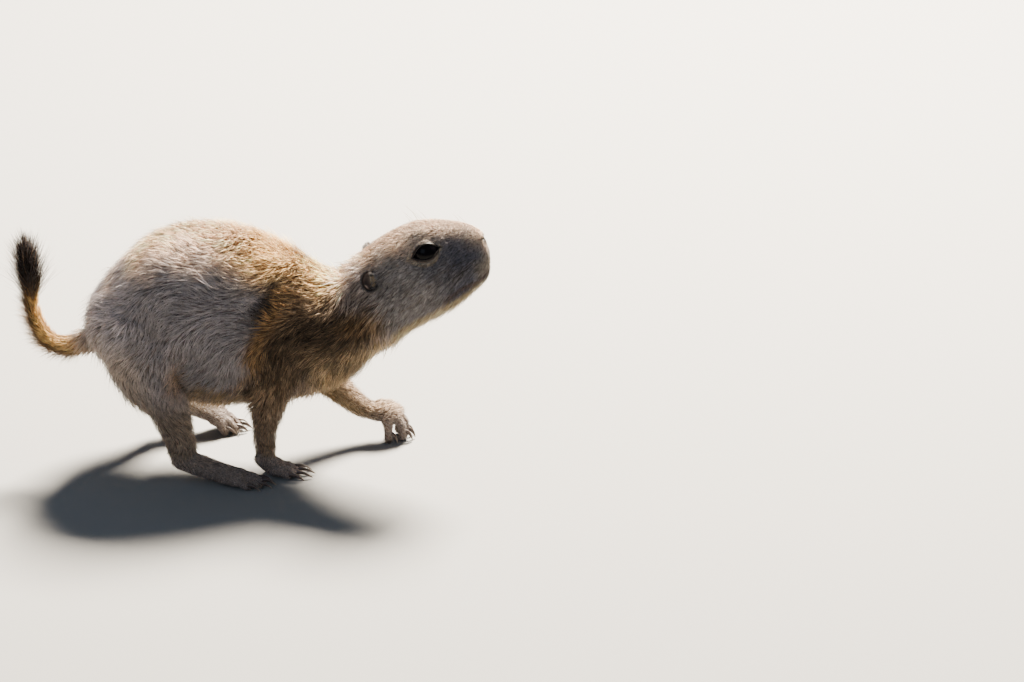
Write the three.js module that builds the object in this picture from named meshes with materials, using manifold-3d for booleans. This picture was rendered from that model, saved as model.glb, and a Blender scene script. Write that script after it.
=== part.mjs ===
// A young prairie dog as a life-size museum model. It stands on four feet with its neck stretched
// forward, its left hand stepping ahead and its tail curled up behind.
// Millimetres. +Z is up, +X runs towards the nose and +Y is the animal's left. The feet rest on Z = 0.
import * as THREE from "three";
import { mergeVertices } from "three/addons/utils/BufferGeometryUtils.js";
import Module from "manifold-3d";

const wasm = await Module();
wasm.setup();

// Driving dimensions
const GAP = 0.3; // between two pieces that meet
const TRUNK_LENGTH = 124; // rump to the base of the neck, over the coat
const TRUNK_HEIGHT = 86; // belly to the top of the arched back
const TRUNK_WIDTH = 66; // across the flanks
const BACK_MIDDLE = 70; // height of the trunk's middle line above the floor
const HEAD_LENGTH = 54.7; // back of the skull to the nose tip, over the coat
const HEAD_WIDTH = 38; // across the cheeks
const HEAD_PITCH = 20; // degrees that the head's own axis points up
const NAPE = [56.4, 77.7]; // x and z of the head's own origin, at the back of the skull
const EYE_RADIUS = 6;
const LID = 0.9; // thickness of the lids over the eyeball
const EAR_SIZE = [4.3, 4.7, 3.4]; // half length, half height and half depth of the low round cup
const EAR_WALL = 0.9;
const EAR_HOLLOW = 1.7; // how far out of the cup's middle its hollow is centred
const MOUTH_SLIT = 0.5;
const BRUSH_LOCKS = 14; // in the tuft that ends the tail
const BRUSH_FROM = 73; // height above the floor from which the tail bears locks
const LOCK = { length: 21.5, width: 3.2, thickness: 0.8, spread: 6 }; // half width and half thickness
const HIND_CLAW = 5.2; // length past the toe
const FORE_CLAW = 6.4;

// Facets round each kind of form
const BODY_SIDES = 26;
const EGG_SIDES = 14;
const NOSTRIL_SIDES = 10;
const PLUG_SIDES = 20;
const SOLE_TUBE = { sides: 10, perSpan: 1, capRings: 1 };
const DIGIT_TUBE = { sides: 6, perSpan: 1, capRings: 1 };
const CLAW_TUBE = { sides: 5, perSpan: 1, capRings: 0 };
const LIMB_TUBE = { sides: 12, perSpan: 2, capRings: 1 };
const TAIL_TUBE = { sides: 10, perSpan: 2, capRings: 1 };
const LOCK_TUBE = { sides: 4, perSpan: 1, capRings: 0 };

const RIGHT = -1;
const LEFT = 1;
const rad = THREE.MathUtils.degToRad;
const vec = (x, y, z) => new THREE.Vector3(x, y, z);

// Colours of the coat's fields, and of what isn't coat
const finish = (color, roughness = 0.9) => new THREE.MeshStandardMaterial({ color, roughness, metalness: 0 });
const FINISH = {
  back: finish("#c3a57c"),
  flank: finish("#a59279"),
  shoulder: finish("#96744c"),
  face: finish("#998772"),
  leg: finish("#a98c66"),
  foot: finish("#75614b"),
  tail: finish("#c79a5e"),
  brush: finish("#2c231d"),
  ear: finish("#7d6a5a"),
  eye: finish("#0b0808", 0.08),
  claw: finish("#1d1815", 0.4),
};

// A seeded draw from -1 to 1, so that each build is the same
let seed = 20240611;
function vary() {
  seed = (seed * 1664525 + 1013904223) % 4294967296;
  return seed / 2147483648 - 1;
}

// Solids that can be joined and cut

function solidOf(geometry) {
  const bare = geometry.clone();
  bare.deleteAttribute("normal");
  bare.deleteAttribute("uv");
  const merged = mergeVertices(bare, 1e-4);
  return new wasm.Manifold(
    new wasm.Mesh({
      numProp: 3,
      vertProperties: new Float32Array(merged.attributes.position.array),
      triVerts: new Uint32Array(merged.index.array),
    }),
  );
}

const join = (solids) => solids.reduce((all, one) => all.add(one));
const cut = (solid, tools) => tools.reduce((rest, tool) => rest.subtract(tool), solid);

// The largest closed surface of a solid.
const largest = (solid) =>
  solid.decompose().reduce((best, one) => (one.volume() > best.volume() ? one : best));

// Parts a solid by a plane through a point. The normal points to the first of the two that come back.
function partAt(solid, [point, normal]) {
  const unit = normal.clone().normalize();
  const offset = unit.dot(point);
  const ahead = solid.trimByPlane(unit.toArray(), offset + GAP / 2);
  const behind = solid.trimByPlane(unit.clone().negate().toArray(), -offset + GAP / 2);
  return [ahead, behind].map(largest);
}

// A frame at a point, with its Z along one direction and its Y as near as can be to another.
function frameAt(point, outward, upward) {
  const z = outward.clone().normalize();
  const x = upward.clone().cross(z).normalize();
  return new THREE.Matrix4().makeBasis(x, z.clone().cross(x), z).setPosition(point);
}

// A sphere stretched to three half sizes, set in a frame.
function egg(frame, [rx, ry, rz], around = EGG_SIDES) {
  const sphere = new THREE.SphereGeometry(1, around, Math.round(around * 0.6));
  return solidOf(sphere.scale(rx, ry, rz).applyMatrix4(frame));
}

// Skins over oval sections

// Rows between the rows of a table: each column follows its own Catmull-Rom curve.
function smoothRows(rows, perSpan) {
  const last = rows.length - 1;
  const between = rows.slice(0, last).flatMap((_, i) => {
    const [a, b, c, d] = [i - 1, i, i + 1, i + 2].map((k) => rows[THREE.MathUtils.clamp(k, 0, last)]);
    return Array.from({ length: perSpan }, (_, k) => {
      const t = k / perSpan;
      return b.map((value, j) => {
        const rise = c[j] - a[j];
        const bend = 2 * a[j] - 5 * value + 4 * c[j] - d[j];
        const twist = 3 * (value - c[j]) + d[j] - a[j];
        return value + 0.5 * t * (rise + t * (bend + t * twist));
      });
    });
  });
  return [...between, rows[last]];
}

// A closed skin from a first pole over rings to a last pole.
// A ring has a middle, and a side and a rise that reach from it to the section's edge.
// Pear above 0 makes the section fuller below its middle.
function skin(first, rings, last, sides, pear = 0) {
  const points = [first];
  for (const { middle, side, rise } of rings) {
    for (let j = 0; j < sides; j++) {
      const turn = (2 * Math.PI * j) / sides;
      const across = Math.cos(turn) * (1 - pear * Math.sin(turn));
      points.push(middle.clone().addScaledVector(side, across).addScaledVector(rise, Math.sin(turn)));
    }
  }
  points.push(last);
  const at = (i, j) => 1 + i * sides + (j % sides);
  const index = [];
  for (let j = 0; j < sides; j++) {
    index.push(0, at(0, j + 1), at(0, j));
    for (let i = 0; i < rings.length - 1; i++) {
      index.push(at(i, j), at(i, j + 1), at(i + 1, j + 1));
      index.push(at(i, j), at(i + 1, j + 1), at(i + 1, j));
    }
    index.push(points.length - 1, at(rings.length - 1, j), at(rings.length - 1, j + 1));
  }
  const geometry = new THREE.BufferGeometry().setFromPoints(points);
  geometry.setIndex(index);
  return solidOf(geometry);
}

// A tapering tube whose sections stand across its path, with round ends.
// A row is [x, y, z, half width along the across direction, half depth].
function tube(rows, { sides = 16, perSpan = 2, capRings = 2, grow = 0, across = vec(0, 1, 0) } = {}) {
  const fine = smoothRows(rows, perSpan);
  const middles = fine.map(([x, y, z]) => vec(x, y, z));
  const last = fine.length - 1;
  const ringAt = (i, slide, share) => {
    const along = middles[Math.min(i + 1, last)].clone().sub(middles[Math.max(i - 1, 0)]).normalize();
    const side = across.clone().addScaledVector(along, -across.dot(along)).normalize();
    const rise = along.clone().cross(side);
    return {
      middle: middles[i].clone().addScaledVector(along, slide),
      side: side.multiplyScalar((fine[i][3] + grow) * share),
      rise: rise.multiplyScalar((fine[i][4] + grow) * share),
    };
  };
  const bulge = (i) => Math.min(fine[i][3], fine[i][4]) + grow;
  const turns = Array.from({ length: capRings }, (_, k) => rad(90 * (1 - (k + 1) / (capRings + 1))));
  const cap = (i, sign) => turns.map((turn) => ringAt(i, sign * bulge(i) * Math.sin(turn), Math.cos(turn)));
  return skin(
    ringAt(0, -bulge(0), 0).middle,
    [...cap(0, -1), ...middles.map((_, i) => ringAt(i, 0, 1)), ...cap(last, 1).reverse()],
    ringAt(last, bulge(last), 0).middle,
    sides,
  );
}

// Trunk, neck and head: one form from the rump to the nose

// [x, z of the middle, half height, half width, degrees that the section leans back]
// The numbers are for a trunk of 124 by 86 by 66, and follow the driving dimensions.
const TRUNK_TABLE = { long: 124, high: 86, wide: 66, middle: 70 };
const TRUNK_POLE = [-71.6, 63.6];
const TRUNK = [
  [-70.8, 63.9, 7, 7, 0],
  [-68.7, 64.8, 13, 13, 0],
  [-64.5, 66, 18.8, 18.8, 0],
  [-57.2, 67.4, 26.6, 25, 0],
  [-49, 68.5, 33.6, 29.6, 0],
  [-40, 69.9, 38.3, 32, 0],
  [-31, 70.3, 41.2, 33, 0],
  [-22, 70.2, 42.7, 33, 0],
  [-13, 70, 43, 32.6, 0],
  [-4.5, 69.6, 42.2, 31.4, 0],
  [4, 68.5, 40.4, 29.6, 0],
  [13, 66.9, 38, 27.6, 0],
  [22, 65.2, 35, 25.8, 2],
  [31, 64.6, 30.9, 23.8, 7],
  [40, 66.2, 26.4, 21.6, 14],
  [48.5, 71, 22.6, 19.4, 19],
];

// The head in its own frame: [forward, top, bottom, half width]
// The numbers are for a head 54.7 long and 38 wide.
const HEAD_TABLE = { long: 54.7, wide: 38 };
const HEAD_POLE_UP = 8.6;
const HEAD = [
  [1.5, 21.4, -21.2, 18.6],
  [8, 24.2, -19.2, 18.9],
  [15, 26, -17.9, 18.9],
  [22, 27, -17, 18.2],
  [29, 26.8, -16, 16.6],
  [35.5, 25.4, -14.2, 14.3],
  [41, 23.4, -12.4, 12.1],
  [45.5, 21.2, -10.6, 10.4],
  [49, 19, -8.2, 8.9],
  [51.6, 16.6, -4.6, 7.3],
  [53.4, 13.8, 0.8, 5.1],
];
const PEAR = 0.09; // how much fuller trunk and cheeks are below their middle

const long = TRUNK_LENGTH / TRUNK_TABLE.long;
const high = TRUNK_HEIGHT / TRUNK_TABLE.high;
const wide = TRUNK_WIDTH / TRUNK_TABLE.wide;
const headScale = HEAD_LENGTH / HEAD_TABLE.long;
const headForward = vec(Math.cos(rad(HEAD_PITCH)), 0, Math.sin(rad(HEAD_PITCH)));
const headUp = vec(-headForward.z, 0, headForward.x);
const levelOf = (z) => BACK_MIDDLE + (z - TRUNK_TABLE.middle) * high;

// A point of the head's own frame, forward, left and up, in the animal's frame.
const onHead = (forward, left, up) =>
  vec(NAPE[0], left, NAPE[1])
    .addScaledVector(headForward, forward * headScale)
    .addScaledVector(headUp, up * headScale);

function bodyForm(grow = 0) {
  const trunk = TRUNK.map(([x, z, h, w, lean]) => [x * long, levelOf(z), h * high, w * wide, lean]);
  const head = HEAD.map(([forward, top, bottom, w]) => {
    const middle = onHead(forward, 0, (top + bottom) / 2);
    const half = ((top - bottom) / 2) * headScale;
    return [middle.x, middle.z, half, (w * HEAD_WIDTH) / HEAD_TABLE.wide, HEAD_PITCH];
  });
  const rings = smoothRows([...trunk, ...head], 2).map(([x, z, h, w, lean]) => ({
    middle: vec(x, 0, z),
    side: vec(0, w + grow, 0),
    rise: vec(-Math.sin(rad(lean)), 0, Math.cos(rad(lean))).multiplyScalar(h + grow),
  }));
  const rump = vec(TRUNK_POLE[0] * long - grow, 0, levelOf(TRUNK_POLE[1]));
  return skin(rump, rings, onHead(HEAD_TABLE.long + grow, 0, HEAD_POLE_UP), BODY_SIDES, PEAR);
}

// Limbs

// A row is [x, y, z, half width, half depth], drawn with y counting outwards from the middle plane.
// The plug is the oval that parts the limb's top from the trunk, seen from the side.
// Bend and wrist are planes, as a point and a normal that points up the limb.
const LIMBS = [
  {
    side: RIGHT,
    names: ["thigh_right", "shank_right", "hindfoot_right"],
    rows: [
      [-44, 19, 70, 12.5, 21],
      [-44.5, 20.5, 58, 14, 20],
      [-42, 22.5, 46, 12.6, 15.5],
      [-37.2, 24.5, 36.5, 9.4, 10.4],
      [-34.2, 25.8, 28, 7.2, 8.4],
      [-31, 26.8, 19.5, 6, 7.2],
      [-29.6, 27.2, 12, 5.4, 6],
    ],
    plug: { middle: [-45, 62], half: [23, 24], inner: 13 },
    bend: [vec(-40, 24, 41), vec(-0.35, 0, 1)],
    wrist: [vec(-29, 25, 15), vec(-0.25, 0, 1)],
    foot: { ball: [-4, 31.4], turnOut: 7, kind: "hind" },
  },
  {
    side: LEFT,
    names: ["thigh_left", "shank_left", "hindfoot_left"],
    rows: [
      [-46, 19, 70, 12.5, 21],
      [-48.5, 20.5, 59, 14, 20],
      [-49, 22.5, 48, 12.6, 15.5],
      [-47, 24.2, 39.5, 9.4, 10.4],
      [-44.5, 25.4, 32.5, 7.2, 8.4],
      [-42, 26.4, 25.5, 6, 7.2],
      [-40.4, 27, 19.5, 5.4, 6],
    ],
    plug: { middle: [-47, 62], half: [23, 24], inner: 13 },
    bend: [vec(-48, 24, 43), vec(-0.3, 0, 1)],
    wrist: [vec(-40, 25, 22.5), vec(-0.2, 0, 1)],
    foot: { ball: [-15.5, 30.4], turnOut: 6, kind: "pushing" },
  },
  {
    side: RIGHT,
    names: ["upper_arm_right", "forearm_right", "forepaw_right"],
    rows: [
      [17, 15, 66, 10.5, 15],
      [13.5, 17.5, 53.5, 10, 14],
      [9, 19.3, 41, 8.6, 11],
      [7.6, 20, 31, 7, 8],
      [6.7, 20.2, 22.5, 5.6, 6.1],
      [6.4, 20.2, 15.5, 4.8, 5.2],
      [6.8, 20.2, 9.5, 4.5, 4.5],
    ],
    plug: { middle: [15.5, 60], half: [15.5, 19], inner: 10 },
    bend: [vec(9, 20, 40), vec(0.15, 0, 1)],
    wrist: [vec(6.6, 20, 11.8), vec(0, 0, 1)],
    foot: { ball: [12, 20.8], turnOut: 4, kind: "fore" },
  },
  {
    side: LEFT,
    names: ["upper_arm_left", "forearm_left", "forepaw_left"],
    rows: [
      [20, 15, 62, 10.5, 15],
      [24.5, 16.6, 48.5, 9.8, 12.6],
      [30, 17.6, 36, 8.6, 9.6],
      [36.6, 18.6, 27, 7.2, 7.4],
      [43.3, 19.8, 20, 5.9, 6],
      [49.6, 20.8, 15, 5, 5.2],
      [55.2, 21.6, 13, 5, 4.6],
    ],
    plug: { middle: [18, 60], half: [14, 19], inner: 10 },
    bend: [vec(29.5, 18, 37), vec(-0.55, 0, 0.83)],
    wrist: [vec(51.6, 21, 14.4), vec(-0.85, 0, 0.45)],
    foot: { ball: [63, 22], turnOut: 4, kind: "stepping" },
  },
];

// Feet. A sole row is [distance behind the ball, height, half width, half depth].
// A digit is [offset outwards from the middle of the ball, start ahead of it, length, degrees it turns out].
// Its rows are [share of its length, height, half width, half depth].
// A claw's rows are [share of the digit's length, share of the claw's, height, half width, half depth].
const DIGITS = {
  hind: [
    [-5, -4.6, 6.4, -9],
    [-3, -1.2, 8.6, -4],
    [-0.3, 0, 9.4, 0],
    [2.5, -0.6, 8.9, 5],
    [5, -3.2, 7.2, 12],
  ],
  fore: [
    [-5.2, -4.6, 3.2, -24],
    [-3.6, 0, 7, -9],
    [-1.2, 0.8, 8, -2],
    [1.5, 0.6, 7.6, 6],
    [3.8, -1, 6, 12],
  ],
};
const FLAT_DIGIT = {
  rows: [
    [0, 3.1, 2.1, 2.4],
    [0.4, 3.2, 2, 2.2],
    [0.75, 2.3, 1.9, 2],
    [1, 1.3, 1.6, 1.7],
  ],
  claw: [
    [0.85, 0, 2, 0.75, 1],
    [1, 0.3, 2.5, 0.75, 1],
    [1, 0.75, 2.1, 0.55, 0.7],
    [1, 1.2, 0.85, 0.25, 0.3],
  ],
};
const FEET = {
  hind: {
    sole: [
      [26.5, 11, 4.8, 4.8],
      [19, 8.3, 5.2, 4.9],
      [11.5, 5.9, 5.6, 4.5],
      [5, 4, 6.3, 4.3],
      [0.5, 3.35, 6.4, 3.8],
    ],
    digits: DIGITS.hind,
    digit: FLAT_DIGIT,
    clawLength: HIND_CLAW,
  },
  fore: {
    sole: [
      [6.4, 8, 4.4, 4.2],
      [3, 5.2, 4.9, 4.4],
      [-0.5, 3.45, 5.3, 3.9],
    ],
    digits: DIGITS.fore,
    digit: FLAT_DIGIT,
    clawLength: FORE_CLAW,
  },
  // The foot that pushes off stands on its toes, with the heel high.
  pushing: {
    sole: [
      [25, 19, 4.8, 4.8],
      [18.5, 15.8, 5.2, 4.9],
      [11.5, 12.6, 5.6, 4.5],
      [5, 9.7, 6.3, 4.3],
      [1, 8, 6.4, 3.8],
    ],
    digits: DIGITS.hind,
    digit: {
      rows: [
        [0, 7.4, 2.1, 2.4],
        [0.35, 6.2, 2, 2.2],
        [0.7, 3.4, 1.9, 2],
        [0.92, 1.3, 1.6, 1.7],
      ],
      claw: [
        [0.75, 0, 3.2, 0.75, 1],
        [0.92, 0.3, 3, 0.75, 1],
        [0.92, 0.62, 2.3, 0.6, 0.8],
        [0.92, 0.95, 0.85, 0.25, 0.3],
      ],
    },
    clawLength: HIND_CLAW,
  },
  // The stepping hand stands on its fingertips, with the wrist carried over them.
  stepping: {
    sole: [
      [8, 13.4, 5, 4.6],
      [3.5, 13, 5.4, 4.4],
      [0, 11.4, 5.6, 4],
    ],
    digits: DIGITS.fore,
    digit: {
      rows: [
        [0, 11, 2.1, 2.4],
        [0.35, 8.8, 2, 2.2],
        [0.5, 5, 1.9, 2],
        [0.45, 1.35, 1.7, 1.8],
      ],
      claw: [
        [0.5, 0, 4.6, 0.75, 1],
        [0.5, 0.35, 4.4, 0.75, 1],
        [0.5, 0.6, 2.9, 0.55, 0.7],
        [0.5, 0.68, 0.9, 0.25, 0.3],
      ],
    },
    clawLength: FORE_CLAW,
  },
};

// Builds the sole with its digits as one solid, and the claws that leave them.
function buildFoot(side, { ball, turnOut, kind }) {
  const { sole, digits, digit, clawLength } = FEET[kind];
  const place = (ahead, outwards) => {
    const [c, s] = [Math.cos(rad(turnOut)), Math.sin(rad(turnOut))];
    return [ball[0] + ahead * c - outwards * s, side * (ball[1] + ahead * s + outwards * c)];
  };
  const soleRows = sole.map(([behind, z, w, d]) => [...place(-behind, 0), z, w, d]);
  const solids = [tube(soleRows, SOLE_TUBE)];
  const clearance = [tube(soleRows, { ...SOLE_TUBE, grow: GAP })];
  const claws = [];
  for (const [offset, start, length, turn] of digits) {
    const reach = (distance) => {
      const ahead = start + distance * Math.cos(rad(turn));
      return place(ahead, offset + distance * Math.sin(rad(turn)));
    };
    const rows = digit.rows.map(([share, z, w, d]) => [...reach(share * length), z, w, d]);
    const clawRows = digit.claw.map(([a, b, z, w, d]) => [...reach(a * length + b * clawLength), z, w, d]);
    solids.push(tube(rows, DIGIT_TUBE));
    clearance.push(tube(rows, { ...DIGIT_TUBE, grow: GAP }));
    claws.push(tube(clawRows, CLAW_TUBE));
  }
  return { solid: join(solids), claws: claws.map((claw) => largest(cut(claw, clearance))) };
}

// The oval prism that holds a limb's top, from the inner plane out.
function plugPrism(side, { middle, half, inner }, grow = 0) {
  const depth = TRUNK_WIDTH;
  const prism = new THREE.CylinderGeometry(1, 1, depth, PLUG_SIDES);
  prism.scale(half[0] + grow, 1, half[1] + grow);
  return solidOf(prism.translate(middle[0], side * (inner - grow + depth / 2), middle[1]));
}

// Builds a limb: its three parts, its claws, and what has to come off the trunk for it.
function buildLimb({ side, names, rows, plug, bend, wrist, foot }) {
  const outline = rows.map(([x, y, ...rest]) => [x, side * y, ...rest]);
  const paw = buildFoot(side, foot);
  const top = bodyForm().intersect(plugPrism(side, plug));
  const whole = join([top, tube(outline, LIMB_TUBE), paw.solid]).trimByPlane([0, 0, 1], 0);
  const [upper, lower] = partAt(whole, bend);
  const parts = [upper, ...partAt(lower, wrist)];
  return {
    pieces: names.map((name, i) => [name, parts[i]]),
    claws: paw.claws.map((claw, i) => [`claw_${names[2]}_${i + 1}`, claw]),
    clearance: [plugPrism(side, plug, GAP), tube(outline, { ...LIMB_TUBE, grow: GAP })],
  };
}

// Tail

// [x, y, z, half width, half depth] from inside the rump to the tip of the core
const TAIL = [
  [-62, 0, 61, 6.4, 6.4],
  [-70, 0, 58, 6, 6],
  [-78.2, 0, 54.6, 5.2, 5],
  [-85.6, 0, 54.8, 4.6, 4.3],
  [-91.4, 0, 58.6, 4.2, 3.9],
  [-94.9, 0, 65.4, 3.9, 3.6],
  [-96.7, 0, 73.4, 3.7, 3.5],
  [-97.3, 0, 81, 3.4, 3.3],
  [-97.8, 0, 88.5, 2.8, 2.8],
  [-98.6, 0, 96, 2, 2],
];
const TAIL_CUTS = {
  middle: [vec(-86, 0, 55), vec(-0.95, 0, 0.3)],
  brush: [vec(-96.4, 0, 70.5), vec(-0.2, 0, 1)],
};
const GOLDEN_ANGLE = Math.PI * (3 - Math.sqrt(5)); // turns each lock away from the last

// A lock's rows: [share of its length, share of the spread, share of its width, share of its thickness]
const LOCK_ROWS = [
  [0, 0.15, 0.8, 1],
  [0.3, 0.62, 1, 1],
  [0.7, 0.94, 0.8, 0.8],
  [1, 1.06, 0.16, 0.4],
];

// A lock of the tuft: a flat blade that is rooted in the core, lies along it and leaves it at its tip.
function brushLock(roots, i) {
  const share = (i + 0.5) / BRUSH_LOCKS;
  const [here, ahead] = [0, 1].map((step) => vec(...roots[Math.floor(share * (roots.length - 1)) + step]));
  const turn = i * GOLDEN_ANGLE + 0.25 * vary();
  const length = LOCK.length * (1 - 0.25 * share) * (1 + 0.1 * vary());
  const along = ahead.sub(here).normalize();
  const sideways = vec(0, Math.cos(turn), 0);
  const out = sideways.addScaledVector(along.clone().cross(vec(0, 1, 0)), Math.sin(turn));
  const rows = LOCK_ROWS.map(([s, d, w, t]) => {
    const point = here.clone().addScaledVector(along, s * length).addScaledVector(out, d * LOCK.spread);
    return [...point.toArray(), LOCK.width * w, LOCK.thickness * t];
  });
  return tube(rows, { ...LOCK_TUBE, across: along.clone().cross(out) });
}

function buildTail() {
  const core = tube(TAIL, TAIL_TUBE).subtract(bodyForm(GAP));
  const [beyond, base] = partAt(largest(core), TAIL_CUTS.middle);
  const [end, middle] = partAt(beyond, TAIL_CUTS.brush);
  const beyondBend = TAIL.slice(TAIL.length / 2);
  const roots = smoothRows(beyondBend, 3).filter(([, , z]) => z > BRUSH_FROM);
  const locks = Array.from({ length: BRUSH_LOCKS }, (_, i) => brushLock(roots, i));
  return [
    ["tail_base", base],
    ["tail_middle", middle],
    ["tail_brush", largest(join([end, ...locks]))],
  ];
}

// Face

const EYE = { forward: 28.4, out: 9, up: 15.1, lookUp: 18, lookAhead: 12 };
const EYE_OPENING = { half: 6.2, over: 3.7, under: 3.2, slope: 3 };
const EAR = { forward: 1, out: 16.2, up: 13.4, lookUp: 22, lookAhead: 15 };
const NOSTRIL = { forward: 53.8, out: 2.3, up: 10.4, half: [0.8, 1.1, 2] };
// The line of the mouth, [forward, up], from the corner to past the lips
const MOUTH = [
  [39.5, -4.8],
  [43, -5.9],
  [46.5, -5.5],
  [49.5, -4],
  [56, -2.4],
];

// The direction that an eye or ear faces on one side of the head.
function facing(side, { lookUp, lookAhead }) {
  const level = headForward.clone().multiplyScalar(Math.sin(rad(lookAhead)));
  level.y = side * Math.cos(rad(lookAhead));
  return level.multiplyScalar(Math.cos(rad(lookUp))).addScaledVector(headUp, Math.sin(rad(lookUp)));
}

// The eyeball, and the head with lids round an almond opening.
function setEye(head, side) {
  const frame = frameAt(onHead(EYE.forward, side * EYE.out, EYE.up), facing(side, EYE), headUp);
  const { half, over, under, slope } = EYE_OPENING;
  const almond = new THREE.Shape();
  almond.moveTo(-half, 0);
  almond.quadraticCurveTo(0, 2 * over, half, 0);
  almond.quadraticCurveTo(0, -2 * under, -half, 0);
  const depth = 3 * EYE_RADIUS; // from the eyeball's middle to well outside the lids
  const opening = new THREE.ExtrudeGeometry(almond, { depth, bevelEnabled: false, curveSegments: 6 });
  opening.rotateZ(rad(side * slope)).applyMatrix4(frame);
  const ball = egg(frame, [1, 1, 1].fill(EYE_RADIUS));
  const lids = egg(frame, [EYE_RADIUS + 1.6 * LID, EYE_RADIUS + LID, EYE_RADIUS + LID]);
  const room = egg(frame, [1, 1, 1].fill(EYE_RADIUS + GAP));
  return [cut(head.add(lids), [solidOf(opening), room]), ball];
}

// The low round cup of an ear, and the head with room for it.
function setEar(head, side) {
  const outward = facing(side, EAR);
  const middle = onHead(EAR.forward, side * EAR.out, EAR.up);
  const at = (slide) => frameAt(middle.clone().addScaledVector(outward, slide), outward, headUp);
  const grown = (by) => EAR_SIZE.map((half) => half + by);
  const cup = egg(at(0), EAR_SIZE).subtract(egg(at(EAR_HOLLOW), grown(-EAR_WALL)));
  return [head.subtract(egg(at(0), grown(GAP))), largest(cup)];
}

// A slit across the muzzle along the line of the mouth.
function mouthSlit() {
  const across = HEAD_WIDTH;
  const points = [
    ...MOUTH.map(([forward, up]) => [forward, up + MOUTH_SLIT / 2]),
    ...MOUTH.map(([forward, up]) => [forward, up - MOUTH_SLIT / 2]).reverse(),
  ];
  const shape = new THREE.Shape(points.map(([forward, up]) => new THREE.Vector2(forward, up)));
  const slab = new THREE.ExtrudeGeometry(shape, { depth: across, bevelEnabled: false });
  slab.translate(0, 0, -across / 2).scale(headScale, headScale, 1);
  const basis = new THREE.Matrix4().makeBasis(headForward, headUp, vec(0, -1, 0));
  return solidOf(slab.applyMatrix4(basis.setPosition(onHead(0, 0, 0))));
}

function buildHead(bare) {
  const pieces = [];
  let head = bare;
  for (const [side, name] of [[RIGHT, "right"], [LEFT, "left"]]) {
    let [eye, ear] = [];
    [head, eye] = setEye(head, side);
    [head, ear] = setEar(head, side);
    const { forward, out, up, half } = NOSTRIL;
    const frame = frameAt(onHead(forward, side * out, up), headForward, headUp);
    head = head.subtract(egg(frame, half, NOSTRIL_SIDES));
    pieces.push([`eye_${name}`, eye], [`ear_${name}`, ear]);
  }
  return [["head", largest(head.subtract(mouthSlit()))], ...pieces];
}

// Parting the one form

// Each cut is a point and a normal that points to the head.
const CUTS = {
  head: [vec(49.5, 0, 73), headForward],
  neck: [vec(30, 0, 65), vec(Math.cos(rad(8)), 0, Math.sin(rad(8)))],
  chest: [vec(0, 0, 69), vec(1, 0, 0)],
  abdomen: [vec(-36, 0, 70), vec(1, 0, 0)],
};

function buildAnimal() {
  const limbs = LIMBS.map(buildLimb);
  const trunk = cut(bodyForm(), limbs.flatMap(({ clearance }) => clearance));
  const [bareHead, behindHead] = partAt(trunk, CUTS.head);
  const [neck, behindNeck] = partAt(behindHead, CUTS.neck);
  const [chest, behindChest] = partAt(behindNeck, CUTS.chest);
  const [abdomen, rump] = partAt(behindChest, CUTS.abdomen);
  return [
    ...buildHead(bareHead),
    ["neck", neck],
    ["chest", chest],
    ["abdomen", abdomen],
    ["rump", rump],
    ...buildTail(),
    ...limbs.flatMap(({ pieces, claws }) => [...pieces, ...claws]),
  ];
}

// The finish of a node follows from its name.
function finishOf(name) {
  const rules = [
    [/^claw/, "claw"],
    [/^eye/, "eye"],
    [/^ear/, "ear"],
    [/^head/, "face"],
    [/^neck|^chest|arm/, "shoulder"],
    [/foot|paw/, "foot"],
    [/^thigh|^shank/, "leg"],
    [/brush/, "brush"],
    [/^tail/, "tail"],
    [/^abdomen/, "flank"],
    [/^rump/, "back"],
  ];
  return FINISH[rules.find(([pattern]) => pattern.test(name))[1]];
}

const prairieDog = new THREE.Group();
for (const [name, solid] of buildAnimal()) {
  const { vertProperties, triVerts } = solid.getMesh();
  const geometry = new THREE.BufferGeometry();
  geometry.setAttribute("position", new THREE.BufferAttribute(new Float32Array(vertProperties), 3));
  geometry.setIndex(new THREE.BufferAttribute(new Uint32Array(triVerts), 1));
  geometry.computeVertexNormals();
  const mesh = new THREE.Mesh(geometry, finishOf(name));
  mesh.name = name;
  prairieDog.add(mesh);
}

export default prairieDog;
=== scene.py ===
import bmesh
import bpy
import numpy as np
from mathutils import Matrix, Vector


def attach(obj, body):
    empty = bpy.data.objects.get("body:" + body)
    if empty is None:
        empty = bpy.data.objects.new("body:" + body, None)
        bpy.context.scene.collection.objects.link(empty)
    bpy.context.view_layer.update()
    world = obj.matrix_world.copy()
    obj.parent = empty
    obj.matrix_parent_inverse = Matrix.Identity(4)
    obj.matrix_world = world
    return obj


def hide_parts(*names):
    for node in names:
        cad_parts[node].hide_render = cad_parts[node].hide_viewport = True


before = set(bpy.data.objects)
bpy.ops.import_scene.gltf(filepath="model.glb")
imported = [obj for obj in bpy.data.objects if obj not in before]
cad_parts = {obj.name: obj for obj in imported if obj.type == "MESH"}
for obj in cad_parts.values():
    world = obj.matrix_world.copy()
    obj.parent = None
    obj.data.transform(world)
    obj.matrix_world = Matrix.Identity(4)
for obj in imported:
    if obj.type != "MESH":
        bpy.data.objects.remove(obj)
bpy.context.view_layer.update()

# Skin
# The animal's hide over the model's body: one closed surface from nose to toes and to the end of the
# tail's core, as deep inside the coat as the hair is high there, with the coat's markings and the painted
# light and shade among them, darker. The eyes' sockets and lids, the mouth, the nostrils and the toes are
# formed in it.

MM = 0.001
RIGHT, LEFT = -1, 1
# The head's own frame starts at the nape, [x, z], and is pitched up by degrees
HEAD_PITCH = 20
NAPE = (56.4, 77.7)

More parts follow.
